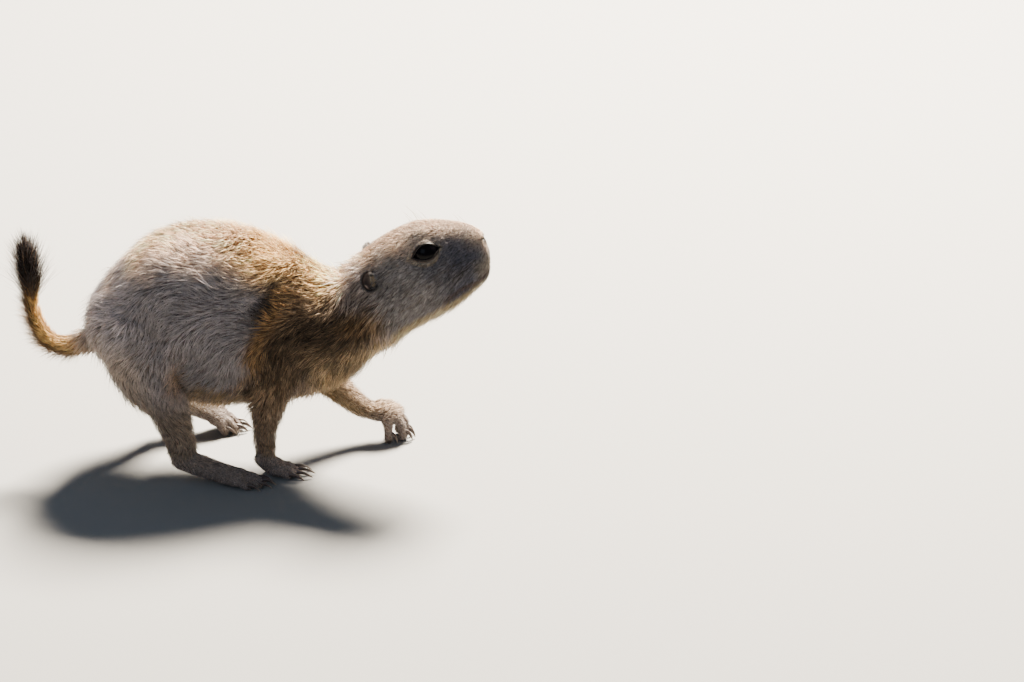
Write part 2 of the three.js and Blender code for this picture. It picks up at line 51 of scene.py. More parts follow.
# [x, z of the middle, half height, half width, degrees that the section leans back], over the coat
TRUNK = [
    [-70.8, 63.9, 7, 7, 0],
    [-68.7, 64.8, 13, 13, 0],
    [-64.5, 66, 18.8, 18.8, 0],
    [-57.2, 67.4, 26.6, 25, 0],
    [-49, 68.5, 33.6, 29.6, 0],
    [-40, 69.9, 38.3, 32, 0],
    [-31, 70.3, 41.2, 33, 0],
    [-22, 70.2, 42.7, 33, 0],
    [-13, 70, 43, 32.6, 0],
    [-4.5, 69.6, 42.2, 31.4, 0],
    [4, 68.5, 40.4, 29.6, 0],
    [13, 66.9, 38, 27.6, 0],
    [22, 65.2, 35, 25.8, 2],
    [31, 64.6, 30.9, 23.8, 7],
    [40, 66.2, 26.4, 21.6, 14],
    [48.5, 71, 22.6, 19.4, 19],
]

# The head in its own frame: [forward, top, bottom, half width]
HEAD = [
    [1.5, 21.4, -21.2, 18.6],
    [8, 24.2, -19.2, 18.9],
    [15, 26, -17.9, 18.9],
    [22, 27, -17, 18.2],
    [29, 26.8, -16, 16.6],
    [35.5, 25.4, -14.2, 14.3],
    [41, 23.4, -12.4, 11.6],
    [45.5, 21.2, -10.6, 9.5],
    [49, 19, -8.2, 7.8],
    [51.6, 16.6, -4.6, 6.3],
    [53.4, 13.8, 0.8, 4.5],
]
# How much wider a section of the body is below its middle than above
PEAR = 0.09

# [x, y outwards, z, half width, half depth] down each limb, over the coat
LIMBS = {
    "right_hind": (RIGHT, [
        [-44, 19, 70, 12.5, 21],
        [-44.5, 20.5, 58, 14, 20],
        [-42, 22.5, 46, 12.6, 15.5],
        [-37.2, 24.5, 36.5, 9.4, 10.4],
        [-34.2, 25.8, 28, 7.2, 8.4],
        [-31, 26.8, 19.5, 6, 7.2],
        [-29.6, 27.2, 12, 5.4, 6],
    ]),
    "left_hind": (LEFT, [
        [-46, 19, 70, 12.5, 21],
        [-48.5, 20.5, 59, 14, 20],
        [-49, 22.5, 48, 12.6, 15.5],
        [-47, 24.2, 39.5, 9.4, 10.4],
        [-44.5, 25.4, 32.5, 7.2, 8.4],
        [-42, 26.4, 25.5, 6, 7.2],
        [-40.4, 27, 19.5, 5.4, 6],
    ]),
    "right_fore": (RIGHT, [
        [17, 15, 66, 10.5, 15],
        [13.5, 17.5, 53.5, 10, 14],
        [9, 19.3, 41, 8.6, 11],
        [7.6, 20, 31, 7, 8],
        [6.7, 20.2, 22.5, 5.6, 6.1],
        [6.4, 20.2, 15.5, 4.8, 5.2],
        [6.8, 20.2, 9.5, 4.5, 4.5],
    ]),
    "left_fore": (LEFT, [
        [20, 15, 62, 10.5, 15],
        [24.5, 16.6, 48.5, 9.8, 12.6],
        [30, 17.6, 36, 8.6, 9.6],
        [36.6, 18.6, 27, 7.2, 7.4],
        [43.3, 19.8, 20, 5.9, 6],
        [49.6, 20.8, 15, 5, 5.2],
        [55.2, 21.6, 13, 5, 4.6],
    ]),
}

# [x, y, z, half width, half depth] from inside the rump to the end of the tail's core
TAIL = [
    [-62, 0, 61, 6.4, 6.4],
    [-70, 0, 58, 6, 6],
    [-78.2, 0, 54.6, 5.2, 5],
    [-85.6, 0, 54.8, 4.6, 4.3],
    [-91.4, 0, 58.6, 4.2, 3.9],
    [-94.9, 0, 65.4, 3.9, 3.6],
    [-96.7, 0, 73.4, 3.7, 3.5],
    [-97.3, 0, 81, 3.4, 3.3],
    [-97.8, 0, 88.5, 2.8, 2.8],
    [-98.6, 0, 96, 2, 2],
]

# Digits: [offset outwards from the ball's middle, start ahead of it, length, degrees it turns out]
HIND_DIGITS = [
    [-5, -4.6, 6.4, -9],
    [-3, -1.2, 8.6, -4],
    [-0.3, 0, 9.4, 0],
    [2.5, -0.6, 8.9, 5],
    [5, -3.2, 7.2, 12],
]
FORE_DIGITS = [
    [-5.2, -4.6, 3.2, -24],
    [-3.6, 0, 7, -9],
    [-1.2, 0.8, 8, -2],
    [1.5, 0.6, 7.6, 6],
    [3.8, -1, 6, 12],
]
# A digit's rows are [share of its length, height, half width, half depth]. The left feet stand on
# their toes only, so their digits bend down to the ground.
FLAT_DIGIT = [[0, 3.1, 2.1, 2.4], [0.4, 3.2, 2, 2.2], [0.75, 2.3, 1.9, 2], [1, 1.4, 1.6, 1.7]]
LIFTED_HIND = [[0, 7.4, 2.1, 2.4], [0.35, 6.2, 2, 2.2], [0.7, 3.4, 1.9, 2], [0.92, 1.5, 1.6, 1.7]]
LIFTED_FORE = [[0, 11, 2.1, 2.4], [0.35, 8.8, 2, 2.2], [0.5, 5, 1.9, 2], [0.45, 1.5, 1.7, 1.8]]
# Each foot: its side, where its ball is, the degrees it turns out, its sole as [behind the ball,
# height, half width, half depth], its digits and their rows
FEET = {
    "hindfoot_right": (RIGHT, [-4, 31.4], 7, [
        [26.5, 11, 4.8, 4.8], [19, 8.3, 5.2, 4.9], [11.5, 5.9, 5.6, 4.5], [5, 4, 6.3, 4.3],
        [0.5, 3.35, 6.4, 3.8],
    ], HIND_DIGITS, FLAT_DIGIT),
    "hindfoot_left": (LEFT, [-15.5, 30.4], 6, [
        [25, 19, 4.8, 4.8], [18.5, 15.8, 5.2, 4.9], [11.5, 12.6, 5.6, 4.5], [5, 9.7, 6.3, 4.3],
        [1, 8, 6.4, 3.8],
    ], HIND_DIGITS, LIFTED_HIND),
    "forepaw_right": (RIGHT, [12, 20.8], 4, [
        [6.4, 8, 4.4, 4.2], [3, 5.2, 4.9, 4.4], [-0.5, 3.45, 5.3, 3.9],
    ], FORE_DIGITS, FLAT_DIGIT),
    "forepaw_left": (LEFT, [63, 22], 4, [
        [8, 13.4, 5, 4.6], [3.5, 13, 5.4, 4.4], [0, 11.4, 5.6, 4],
    ], FORE_DIGITS, LIFTED_FORE),
}

# Depth of the coat over the skin
COAT_DEPTH = {"trunk": 3.6, "head": 1.2, "limb_top": 3.2, "limb_end": 1, "foot": 0.35, "tail": 1.5}
# The surfaces that the skin is grown together from: points round a section, sections for each row of
# a table, and sections that round off an end
AROUND = {"body": 96, "limb": 40, "tail": 28, "sole": 28, "digit": 18}
SPANS = {"body": 6, "tube": 4}
CAP_RINGS = 3
# Size of the cells that they are grown together with, and the gap kept under the soles
VOXEL = 1.05
FLOOR_GAP = 0.12

forward = np.array([np.cos(np.radians(HEAD_PITCH)), 0, np.sin(np.radians(HEAD_PITCH))])
upward = np.array([-forward[2], 0, forward[0]])
leftward = np.array([0.0, 1.0, 0.0])
nape = np.array([NAPE[0], 0, NAPE[1]])


def on_head(f, left, u):
    """Points of the head's own frame, forward, left and up, in the animal's frame."""
    f, left, u = (np.asarray(v, float)[..., None] for v in (f, left, u))
    return nape + f * forward + left * leftward + u * upward


def smooth_rows(rows, per_span):
    """Rows between the rows of a table: each column follows its own Catmull-Rom curve."""
    rows = np.asarray(rows, float)
    padded = np.vstack([rows[:1], rows, rows[-1:]])
    a, b, c, d = (padded[k:len(padded) - 3 + k, None] for k in range(4))
    t = (np.arange(per_span) / per_span)[None, :, None]
    curve = b + 0.5 * t * (c - a + t * (2 * a - 5 * b + 4 * c - d + t * (3 * (b - c) + d - a)))
    return np.vstack([curve.reshape(-1, rows.shape[1]), rows[-1:]])


def unit(v):
    """Vectors of length 1."""
    return v / np.maximum(np.linalg.norm(v, axis=-1, keepdims=True), 1e-9)


def body_rings(grow, head_grow):
    """Oval sections from the rump to the nose: their middles, and vectors to their side and top. Rows of
    the trunk and of the head make one table, and each section leans back by its own angle."""
    trunk = np.array(TRUNK, float)
    trunk[:, 2:4] += grow
    head = np.array(HEAD, float)
    middle = on_head(head[:, 0], 0 * head[:, 0], (head[:, 1] + head[:, 2]) / 2)
    half = (head[:, 1] - head[:, 2]) / 2 + head_grow
    pitch = np.full(len(head), float(HEAD_PITCH))
    head = np.column_stack([middle[:, 0], middle[:, 2], half, head[:, 3] + head_grow, pitch])
    x, z, high, wide, lean = smooth_rows(np.vstack([trunk, head]), SPANS["body"]).T
    lean = np.radians(lean)
    middle = np.column_stack([x, 0 * x, z])
    side = np.column_stack([0 * x, wide, 0 * x])
    rise = np.column_stack([-np.sin(lean), 0 * x, np.cos(lean)]) * high[:, None]
    return middle, side, rise


def tube_rings(rows, per_span=SPANS["tube"], grow=0.0):
    """Oval sections across a path, [x, y, z, half width, half depth], rounded off at both ends. Each
    one's side is the animal's left made square to the path, and its rise is square to both. At an end
    the section slides on by the sine of an angle while its size falls with the cosine."""
    fine = smooth_rows(rows, per_span)
    middle = fine[:, :3]
    along = unit(np.gradient(middle, axis=0))
    side = unit(leftward - along * (along @ leftward)[:, None])
    rise = np.cross(along, side)
    half = fine[:, 3:5] + np.broadcast_to(grow, len(fine))[:, None]
    turn = np.radians(np.linspace(80, 20, CAP_RINGS))
    bulge = half[[0, -1]].min(axis=1)
    ends = []
    for end, sign, turns in ((0, -1, turn), (-1, 1, turn[::-1])):
        slide = sign * bulge[end] * np.sin(turns)[:, None] * along[end]
        ends.append((middle[end] + slide, np.cos(turns)[:, None] * half[end]))
    middle = np.vstack([ends[0][0], middle, ends[1][0]])
    half = np.vstack([ends[0][1], half, ends[1][1]])
    side, rise = (np.pad(way, ((CAP_RINGS, CAP_RINGS), (0, 0)), "edge") for way in (side, rise))
    return middle, side * half[:, :1], rise * half[:, 1:]


def closed_grid(grid, first, last):
    """A surface over a grid of rings, closed by a point before its first ring and one after its last.
    Gives its vertices, four-sided faces and three-sided faces."""
    rings, around = grid.shape[:2]
    vertices = np.vstack([first, grid.reshape(-1, 3), last])
    i, j = np.meshgrid(np.arange(rings - 1), np.arange(around), indexing="ij")
    at = lambda a, b: 1 + a * around + b % around
    quads = np.stack([at(i, j), at(i, j + 1), at(i + 1, j + 1), at(i + 1, j)], -1).reshape(-1, 4)
    j = np.arange(around)
    start = np.stack([0 * j, at(0, j + 1), at(0, j)], -1)
    end = np.stack([0 * j + len(vertices) - 1, at(rings - 1, j), at(rings - 1, j + 1)], -1)
    return vertices, quads, np.vstack([start, end])


def closed_surface(middle, side, rise, around, pear=0.0):
    """A closed surface over oval sections: middle + side cos(a) (1 - pear sin(a)) + rise sin(a), with a
    point a little past each end."""
    turn = np.linspace(0, 2 * np.pi, around, endpoint=False)[None, :, None]
    wide = side[:, None] * np.cos(turn) * (1 - pear * np.sin(turn))
    grid = middle[:, None] + wide + rise[:, None] * np.sin(turn)
    return closed_grid(grid, middle[0] * 1.2 - middle[1] * 0.2, middle[-1] * 1.2 - middle[-2] * 0.2)


def joined(surfaces):
    """Several surfaces as one set of vertices and faces."""
    starts = np.cumsum([0] + [len(vertices) for vertices, _, _ in surfaces[:-1]])
    vertices = np.vstack([surface[0] for surface in surfaces])
    renumbered = lambda k: np.vstack([surface[k] + start for surface, start in zip(surfaces, starts)])
    return vertices, renumbered(1), renumbered(2)


def new_piece(name, vertices, quads, tris):
    """A smooth mesh object from vertices in millimetres and its faces."""
    mesh = bpy.data.meshes.new(name)
    corners = np.concatenate([np.ravel(quads), np.ravel(tris)]).astype(np.int32)
    sizes = np.concatenate([np.full(len(quads), 4), np.full(len(tris), 3)]).astype(np.int32)
    mesh.vertices.add(len(vertices))
    mesh.vertices.foreach_set("co", (np.asarray(vertices) * MM).astype(np.float32).ravel())
    mesh.loops.add(len(corners))
    mesh.loops.foreach_set("vertex_index", corners)
    mesh.polygons.add(len(sizes))
    mesh.polygons.foreach_set("loop_start", (np.cumsum(sizes) - sizes).astype(np.int32))
    mesh.polygons.foreach_set("use_smooth", np.ones(len(sizes), bool))
    mesh.update(calc_edges=True)
    mesh.validate()
    piece = bpy.data.objects.new(name, mesh)
    bpy.context.scene.collection.objects.link(piece)
    return piece


def foot_place(side, ball, turn_out, ahead, out):
    """Floor position of points ahead of a foot's ball and outwards from its middle line."""
    c, s = np.cos(np.radians(turn_out)), np.sin(np.radians(turn_out))
    return ball[0] + ahead * c - out * s, side * (ball[1] + ahead * s + out * c)


def sole_rows(foot):
    """The rows of a foot's sole as [x, y, z, half width, half depth]."""
    side, ball, turn_out, sole, _, _ = FEET[foot]
    sole = np.array(sole, float)
    x, y = foot_place(side, ball, turn_out, -sole[:, 0], 0 * sole[:, 0])
    return np.column_stack([x, y, sole[:, 1:]])


def along_digit(foot, i, shape, claw_length=0.0):
    """Rows along one digit of a foot, as [x, y, z, half width, half depth]. Each reaches a share of the
    digit's length and a share of its claw's, which are the first two columns of the shape."""
    side, ball, turn_out, _, digits, _ = FEET[foot]
    out, start, length, turn = digits[i]
    reach = shape[:, 0] * length + shape[:, 1] * claw_length
    ahead = start + reach * np.cos(np.radians(turn))
    x, y = foot_place(side, ball, turn_out, ahead, out + reach * np.sin(np.radians(turn)))
    return np.column_stack([x, y, shape[:, 2:]])


def digit_rows(foot, i):
    """The rows of one digit of a foot, without its claw."""
    return along_digit(foot, i, np.insert(np.array(FEET[foot][5], float), 1, 0, axis=1))


def limb_rows(name):
    """The rows of a limb, with y on its own side."""
    side, rows = LIMBS[name]
    return np.array(rows, float) * [1, side, 1, 1, 1]


body = body_rings(-COAT_DEPTH["trunk"], -COAT_DEPTH["head"])
surfaces = [closed_surface(*body, AROUND["body"], PEAR)]
for limb in LIMBS:
    rows = limb_rows(limb)
    inset = np.linspace(COAT_DEPTH["limb_top"], COAT_DEPTH["limb_end"], (len(rows) - 1) * SPANS["tube"] + 1)
    surfaces.append(closed_surface(*tube_rings(rows, grow=-inset), AROUND["limb"]))
surfaces.append(closed_surface(*tube_rings(TAIL, grow=-COAT_DEPTH["tail"]), AROUND["tail"]))
for foot in FEET:
    surfaces.append(closed_surface(*tube_rings(sole_rows(foot), grow=-COAT_DEPTH["foot"]), AROUND["sole"]))
    for i in range(5):
        digit = tube_rings(digit_rows(foot, i), grow=-COAT_DEPTH["foot"])
        surfaces.append(closed_surface(*digit, AROUND["digit"]))
skin = new_piece("skin", *joined(surfaces))

remesh = skin.modifiers.new("one_surface", "REMESH")
remesh.mode = "VOXEL"
remesh.voxel_size = VOXEL * MM
whole = bpy.data.meshes.new_from_object(skin.evaluated_get(bpy.context.evaluated_depsgraph_get()))
skin.modifiers.clear()
skin.data = whole


def points_of(mesh):
    """A mesh's vertices in millimetres."""
    co = np.empty(len(mesh.vertices) * 3, np.float32)
    mesh.vertices.foreach_get("co", co)
    return co.reshape(-1, 3).astype(float) / MM


def normals_of(mesh):
    """A mesh's vertex normals."""
    out = np.empty(len(mesh.vertices) * 3, np.float32)
    mesh.vertex_normals.foreach_get("vector", out)
    return out.reshape(-1, 3).astype(float)


def edges_of(mesh):
    """A mesh's edges as pairs of vertices."""
    out = np.empty(len(mesh.edges) * 2, np.int32)
    mesh.edges.foreach_get("vertices", out)
    return out.reshape(-1, 2)


def set_points(mesh, points):
    """Puts vertices in millimetres back into a mesh."""
    mesh.vertices.foreach_set("co", (points * MM).astype(np.float32).ravel())
    mesh.update()


def relaxed(points, edges, times, share):
    """Smooths points along their edges: each moves a share of the way to its neighbours' mean, and
    every second time a little further back, so that the form doesn't shrink."""
    n = len(points)
    count = np.bincount(edges.ravel(), minlength=n)[:, None]
    one, other = edges.T
    for k in range(times):
        total = np.stack([
            np.bincount(one, points[other, c], n) + np.bincount(other, points[one, c], n) for c in range(3)
        ], 1)
        points = points + (share if k % 2 == 0 else -1.04 * share) * (total / count - points)
    return points


set_points(skin.data, relaxed(points_of(skin.data), edges_of(skin.data), times=20, share=0.55))

bpy.context.view_layer.objects.active = skin
bpy.ops.object.mode_set(mode="EDIT")
bpy.ops.mesh.select_all(action="SELECT")
bpy.ops.uv.smart_project(angle_limit=1.15, island_margin=0.002)
bpy.ops.object.mode_set(mode="OBJECT")


def head_place(points):
    """How far forward, left and up points lie in the head's own frame."""
    d = points - nape
    return d @ forward, d @ leftward, d @ upward


def refine(mesh, inside):
    """Cuts each face whose middle passes the test into four."""
    bm = bmesh.new()
    bm.from_mesh(mesh)
    middles = np.array([f.calc_center_median() for f in bm.faces]) / MM
    chosen = {e for f, yes in zip(bm.faces, inside(middles)) if yes for e in f.edges}
    bmesh.ops.subdivide_edges(bm, edges=list(chosen), cuts=1, use_grid_fill=True)
    bm.to_mesh(mesh)
    bm.free()


def in_face(p):
    """The head ahead of the cheeks."""
    f, _, u = head_place(p)
    return (f > 17) & (u > -24)


def in_muzzle(p):
    """The sides of the muzzle and all of its end."""
    f, _, u = head_place(p)
    return (f > 37) & (u < 14) | (f > 47)


def in_foot(p):
    """The feet near the ground, ahead of the right heel."""
    return (p[:, 2] < 11) & (p[:, 0] > -24)


for region in (in_face, in_muzzle, in_foot):
    refine(skin.data, region)

# The middle of an eye and of an ear on the head, and the degrees by which it looks up and ahead, and by
# which its opening slopes; the eye's radius; half the length of its opening and its height over and
# under its middle line
EYE = {"forward": 28.4, "out": 9, "up": 15.1, "look_up": 18, "look_ahead": 12, "slope": 3}
EAR = {"forward": 2.3, "out": 16.4, "up": 13.4, "look_up": 22, "look_ahead": 15, "slope": 0}
EYE_RADIUS = 6
EYE_OPENING = {"half": 6.4, "over": 3.8, "under": 3.3}
# How far a lid rises over the ball, and how far the socket lies behind it
LID_RISE, SOCKET_GAP = 0.65, 1.3


def axes_of(part, side):
    """The middle of an eye or ear, the way it looks, and the directions along and across its opening.
    It looks out of the head's side, turned ahead and up, and its two other directions are the head's
    forward and up made square to that, then turned by its slope."""
    middle = on_head(part["forward"], side * part["out"], part["up"])
    ahead, look_up, slope = (np.radians(part[name]) for name in ("look_ahead", "look_up", "slope"))
    level = leftward * side * np.cos(ahead) + forward * np.sin(ahead)
    look = level * np.cos(look_up) + upward * np.sin(look_up)
    along = unit(forward - look * (forward @ look))
    across = unit(upward - look * (upward @ look) - along * (upward @ along))
    sloped = along * np.cos(slope) + across * np.sin(slope)
    return middle, look, sloped, across * np.cos(slope) - along * np.sin(slope)


def eye_place(points, side):
    """How far points lie from an eye's middle: along its opening, across it and outwards."""
    middle, look, along, across = axes_of(EYE, side)
    d = points - middle
    return d @ along, d @ across, d @ look


def lens(a, b):
    """Where a point lies in the eye's pointed opening: under 1 inside, 1 on its edge, more outside."""
    tall = np.where(b > 0, EYE_OPENING["over"], EYE_OPENING["under"])
    return (a / EYE_OPENING["half"]) ** 2 + np.abs(b) / tall


def soft(x, low, high):
    """Rises smoothly from 0 at low to 1 at high."""
    t = np.clip((x - low) / (high - low), 0, 1)
    return t * t * (3 - 2 * t)


def hill(distance, width):
    """A bell curve: e to the power of minus the square of the distance over the width."""
    return np.exp(-(distance / width) ** 2)


def oval(a, b, half_a, half_b):
    """A bell curve in two directions, of its own width in each."""
    return np.exp(-(a / half_a) ** 2 - (b / half_b) ** 2)


def bump(points, centre, radius):
    """A round hill of height 1 about a point of the head's frame, on both sides of the head."""
    f, left, u = head_place(points)
    away = np.sqrt((f - centre[0]) ** 2 + (np.abs(left) - centre[1]) ** 2 + (u - centre[2]) ** 2)
    return hill(away, radius)


# The mouth's line from its corner to under the nose, as [forward, up] on the head's side
MOUTH = np.array([[39.5, -5.6], [43, -6.7], [46.5, -6.2], [49.5, -4.8], [53, -3.7], [56, -3]])
# A nostril's middle as [out, up]
NOSTRIL = [2.3, 10.4]
# Hills and hollows of the face: [forward, out, up], radius, height
FACE_FORMS = {
    "brow": ([27, 12, 24], 6, 0.9),
    "hollow_before_eye": ([36, 13, 14], 5, -0.7),
    "cheek": ([22, 18, 2], 9, 1.2),
    "cheek_front": ([38, 13, 0], 7, 0.6),
    "whisker_pad": ([48, 7, 2.5], 4.5, 1.0),
    "chin": ([50, 2, -7.5], 3.5, 0.5),
    "nostril_rim": ([53.5, 2.6, 12.2], 2.0, 0.5),
    "nose_tip": ([54, 0, 9], 2.2, 0.6),
}
# How deep the mouth's line, the parting of the lip, the nostrils and the gaps between toes are, how high
# a toe's knuckles stand, and the rows of a toe's path where they are
DEPTH = {"mouth": 0.9, "lip": 0.5, "nostril": 1.7, "toe_gap": 1.2}
KNUCKLE = 0.5
KNUCKLE_ROWS = (9, 17)
# How far from its ball, and how high, a foot's skin is formed
FOOT_REACH, FOOT_TOP = 17, 15


def off_mouth(points):
    """Distance of points from the mouth's line in the head's side view, which rises to the parting of
    the lip in front: the least of the distances from its straight stretches."""
    f, left, u = head_place(points)
    u = u - 2.2 * hill(left, 2.4) * soft(f, 49, 51.5)
    best = np.full(len(points), 1e9)
    for a, b in zip(MOUTH[:-1], MOUTH[1:]):
        d = b - a
        t = np.clip(((f - a[0]) * d[0] + (u - a[1]) * d[1]) / (d @ d), 0, 1)
        best = np.minimum(best, np.hypot(f - a[0] - t * d[0], u - a[1] - t * d[1]))
    return best


points = relaxed(points_of(skin.data), edges_of(skin.data), times=6, share=0.5)
set_points(skin.data, points)
normals = normals_of(skin.data)
for centre, radius, height in FACE_FORMS.values():
    points += normals * (height * bump(points, centre, radius))[:, None]
# Round the eye the skin is drawn out to a lid just over the ball, and inside the opening it lies behind it
for side in (RIGHT, LEFT):
    look = axes_of(EYE, side)[1]
    a, b, out = eye_place(points, side)
    ball = np.sqrt(np.maximum(EYE_RADIUS ** 2 - a ** 2 - b ** 2, 1.5 ** 2))
    place = lens(a, b)
    near = out > -2
    lid = np.where(near, soft(place, 2.4, 1.1) * (ball + LID_RISE - out), 0)
    socket = np.where(near & (place < 1.0), np.minimum(ball - SOCKET_GAP - out, 0), 0)
    points += look * np.where(place < 1.0, socket, np.maximum(lid, -0.5))[:, None]
set_points(skin.data, points)
normals = normals_of(skin.data)
# The mouth is a groove, the lip is parted in front, and each nostril is a slanting slit
f, left, u = head_place(points)
groove = hill(off_mouth(points), 0.45) * soft(f, 39.5, 42)
points -= normals * (DEPTH["mouth"] * groove)[:, None]
parting = hill(left, 0.35) * soft(f, 50.5, 52) * soft(u, 9.5, 7.5) * soft(u, -2, -0.5)
points -= normals * (DEPTH["lip"] * parting)[:, None]
slant = u - NOSTRIL[1] - 0.5 * (np.abs(left) - NOSTRIL[0])
nostril = oval(np.abs(left) - NOSTRIL[0], slant, 1.0, 0.6) * soft(f, 49.5, 51)
points -= forward * (DEPTH["nostril"] * nostril)[:, None]
# The skin sinks in where it is as near to one toe as to the next, and rises over each knuckle
toe_gap = np.zeros(len(points))
for foot, (side, ball, turn_out, _, _, _) in FEET.items():
    from_ball = np.hypot(points[:, 0] - ball[0], points[:, 1] - side * ball[1])
    near = np.flatnonzero((from_ball < FOOT_REACH) & (points[:, 2] < FOOT_TOP))
    p = points[near]
    off = []
    for i in range(5):
        toe = smooth_rows(digit_rows(foot, i), 6)
        off.append((np.linalg.norm(p[:, None] - toe[None, :, :3], axis=2) - toe[None, :, 3]).min(axis=1))
        for row in KNUCKLE_ROWS:
            knuckle = toe[row, :3] + [0, 0, toe[row, 4]]
            raised = KNUCKLE * hill(np.linalg.norm(p - knuckle, axis=1), 1.4)
            points[near] += normals[near] * raised[:, None]
    off = np.sort(np.array(off), axis=0)
    turned = np.radians(turn_out)
    ahead = (p[:, 0] - ball[0]) * np.cos(turned) + (side * p[:, 1] - ball[1]) * np.sin(turned)
    toe_gap[near] = hill(off[1] - off[0], 0.8) * soft(ahead, 1.5, 4)
points -= normals * (DEPTH["toe_gap"] * toe_gap)[:, None]
points[:, 2] = np.maximum(points[:, 2], FLOOR_GAP)
set_points(skin.data, points)
skin.data.polygons.foreach_set("use_smooth", np.ones(len(skin.data.polygons), bool))

# Lie of the coat: hair follows the paths of body, limbs and tail, each the more the nearer it is in
# widths of that path. On the body it points back from the nose, elsewhere to the toes and the tail's end.
MIDDLE_DIGIT = 2
NEARNESS = 7
SWIRL = np.radians(24)
trunk_middle, trunk_side, trunk_rise = body_rings(0, 0)
wide = (np.linalg.norm(trunk_side, axis=1) + np.linalg.norm(trunk_rise, axis=1)) / 2
paths = [(trunk_middle, wide, -unit(np.gradient(trunk_middle, axis=0)))]
tables = [
    smooth_rows(np.vstack([limb_rows(limb), sole_rows(foot)[1:], digit_rows(foot, MIDDLE_DIGIT)[1:]]), 4)
    for limb, foot in zip(LIMBS, FEET)
]
for rows in [*tables, smooth_rows(TAIL, 6)]:
    paths.append((rows[:, :3], rows[:, 3:].mean(axis=1), unit(np.gradient(rows[:, :3], axis=0))))

closest, heading = [], []
for middle, wide, way in paths:
    gap = np.linalg.norm(points[:, None, :] - middle[None], axis=2) / wide[None]
    at = gap.argmin(axis=1)
    closest.append(gap[np.arange(len(points)), at])
    heading.append(way[at])
closest = np.array(closest)
share = np.exp(-NEARNESS * (closest - closest.min(axis=0)))
share /= share.sum(axis=0)
x, y, z = points.T
nx, _, nz = normals.T
f, left, u = head_place(points)
body_share, tail_share = share[0], share[-1]
limb_share = share[1:-1].sum(axis=0)
foot_share = limb_share * soft(z, 17, 9)
head_share = soft(f, -2, 8)


def square_to(v, way):
    """What is left of vectors without their part along unit vectors."""
    return v - way * np.sum(v * way, axis=1)[:, None]


def leant(way, towards, angle):
    """Unit vectors leant by angles towards others that are square to them."""
    return way * np.cos(angle)[:, None] + towards * np.sin(angle)[:, None]


droop = (0.25 + 1.5 * soft(z, 82, 42)) * (1 - head_share) + 0.35 * head_share
heading[0] = heading[0] + np.array([0, 0, -1.0]) * droop[:, None]
lie = sum(w[:, None] * way for w, way in zip(share, heading))
lie = unit(square_to(lie, normals))
swirl = np.sin(x / 11 + z / 7 + 1.2 * np.sin(y / 9)) + 0.7 * np.sin(z / 5 - x / 6 + y / 8)
swirl = SWIRL * swirl * (1 - head_share) * (1 - foot_share)
lie = unit(leant(lie, np.cross(normals, lie), swirl))


def paint(red, green, blue):
    """A colour as it looks, 0 to 255, as light."""
    c = np.array([red, green, blue]) / 255
    return np.where(c > 0.04045, ((c + 0.055) / 1.055) ** 2.4, c / 12.92)


FLANK = paint(183, 175, 177)
# Pale back, partly its own colour and partly painted sunlight
PALE_BACK_AND_SUNLIGHT = paint(255, 219, 186)
SHOULDER = paint(142, 120, 96)
OCHRE = paint(200, 158, 108)
UNDER = paint(216, 196, 162)
BELLY = paint(186, 160, 124)
THIGH = paint(204, 188, 176)
SHANK = paint(178, 161, 146)
FOOT = paint(176, 162, 155)
# Pale crown, partly its own colour and partly painted sunlight
CROWN_AND_SUNLIT_TOP = paint(226, 200, 178)
CHEEK = paint(158, 152, 152)
# Muzzle, partly its own colour and partly painted shade
MUZZLE_AND_SHADE = paint(94, 97, 112)
# Lips, and painted shade along the jaw's crease
LIP_AND_JAW_SHADE = paint(92, 70, 62)
GOLD = paint(224, 184, 118)
BROWN = paint(110, 82, 64)
BLACK = paint(36, 29, 27)


def laid(colour, over, mask):
    """One colour laid over others where a mask is 1."""
    return colour + (over - colour) * mask[:, None]


def flank_spot(ax, az, half_x, half_z):
    """An oval spot on the animal's sides."""
    return oval(x - ax, z - az, half_x, half_z)


# The markings, and the painted sunlight and shade among them, are laid over one another. Each mask says
# where a colour starts and where it is full, in millimetres of the animal's frame or the head's, or by how
# far the skin there looks up. The edges wander, so that none is a straight line, and the crease runs down
# behind the shoulder.
wander = 1.6 * np.sin(x / 4 + z / 3) + 1.6 * np.sin(z / 2.3 - y / 5) + np.sin(x / 1.7 - z / 2.1)
crease = x - (10.7 - (87.5 - z) * 0.41 + 3.5 * soft(z, 66, 84)) + 0.5 * wander

# Grey flanks, paler thighs, and a pale back that turns golden in front. The back's pale colour, on the skin
# that looks up, is partly its own and partly painted sunlight
marks_and_painted_light = laid(FLANK, THIGH, soft(x, -38, -54) * soft(z, 74, 56))
ahead = soft(x, -30, 8)
on_back_and_sunlit_top = soft(nz + 0.03 * wander, 0.52 - 0.25 * ahead, 0.95 - 0.2 * ahead)
marks_and_painted_light = laid(marks_and_painted_light, PALE_BACK_AND_SUNLIGHT, on_back_and_sunlit_top * soft(z, 74, 88))
marks_and_painted_light = laid(marks_and_painted_light, GOLD, 0.8 * soft(x, -14, 10) * soft(x, 46, 32) * soft(nz, 0.3, 0.65))

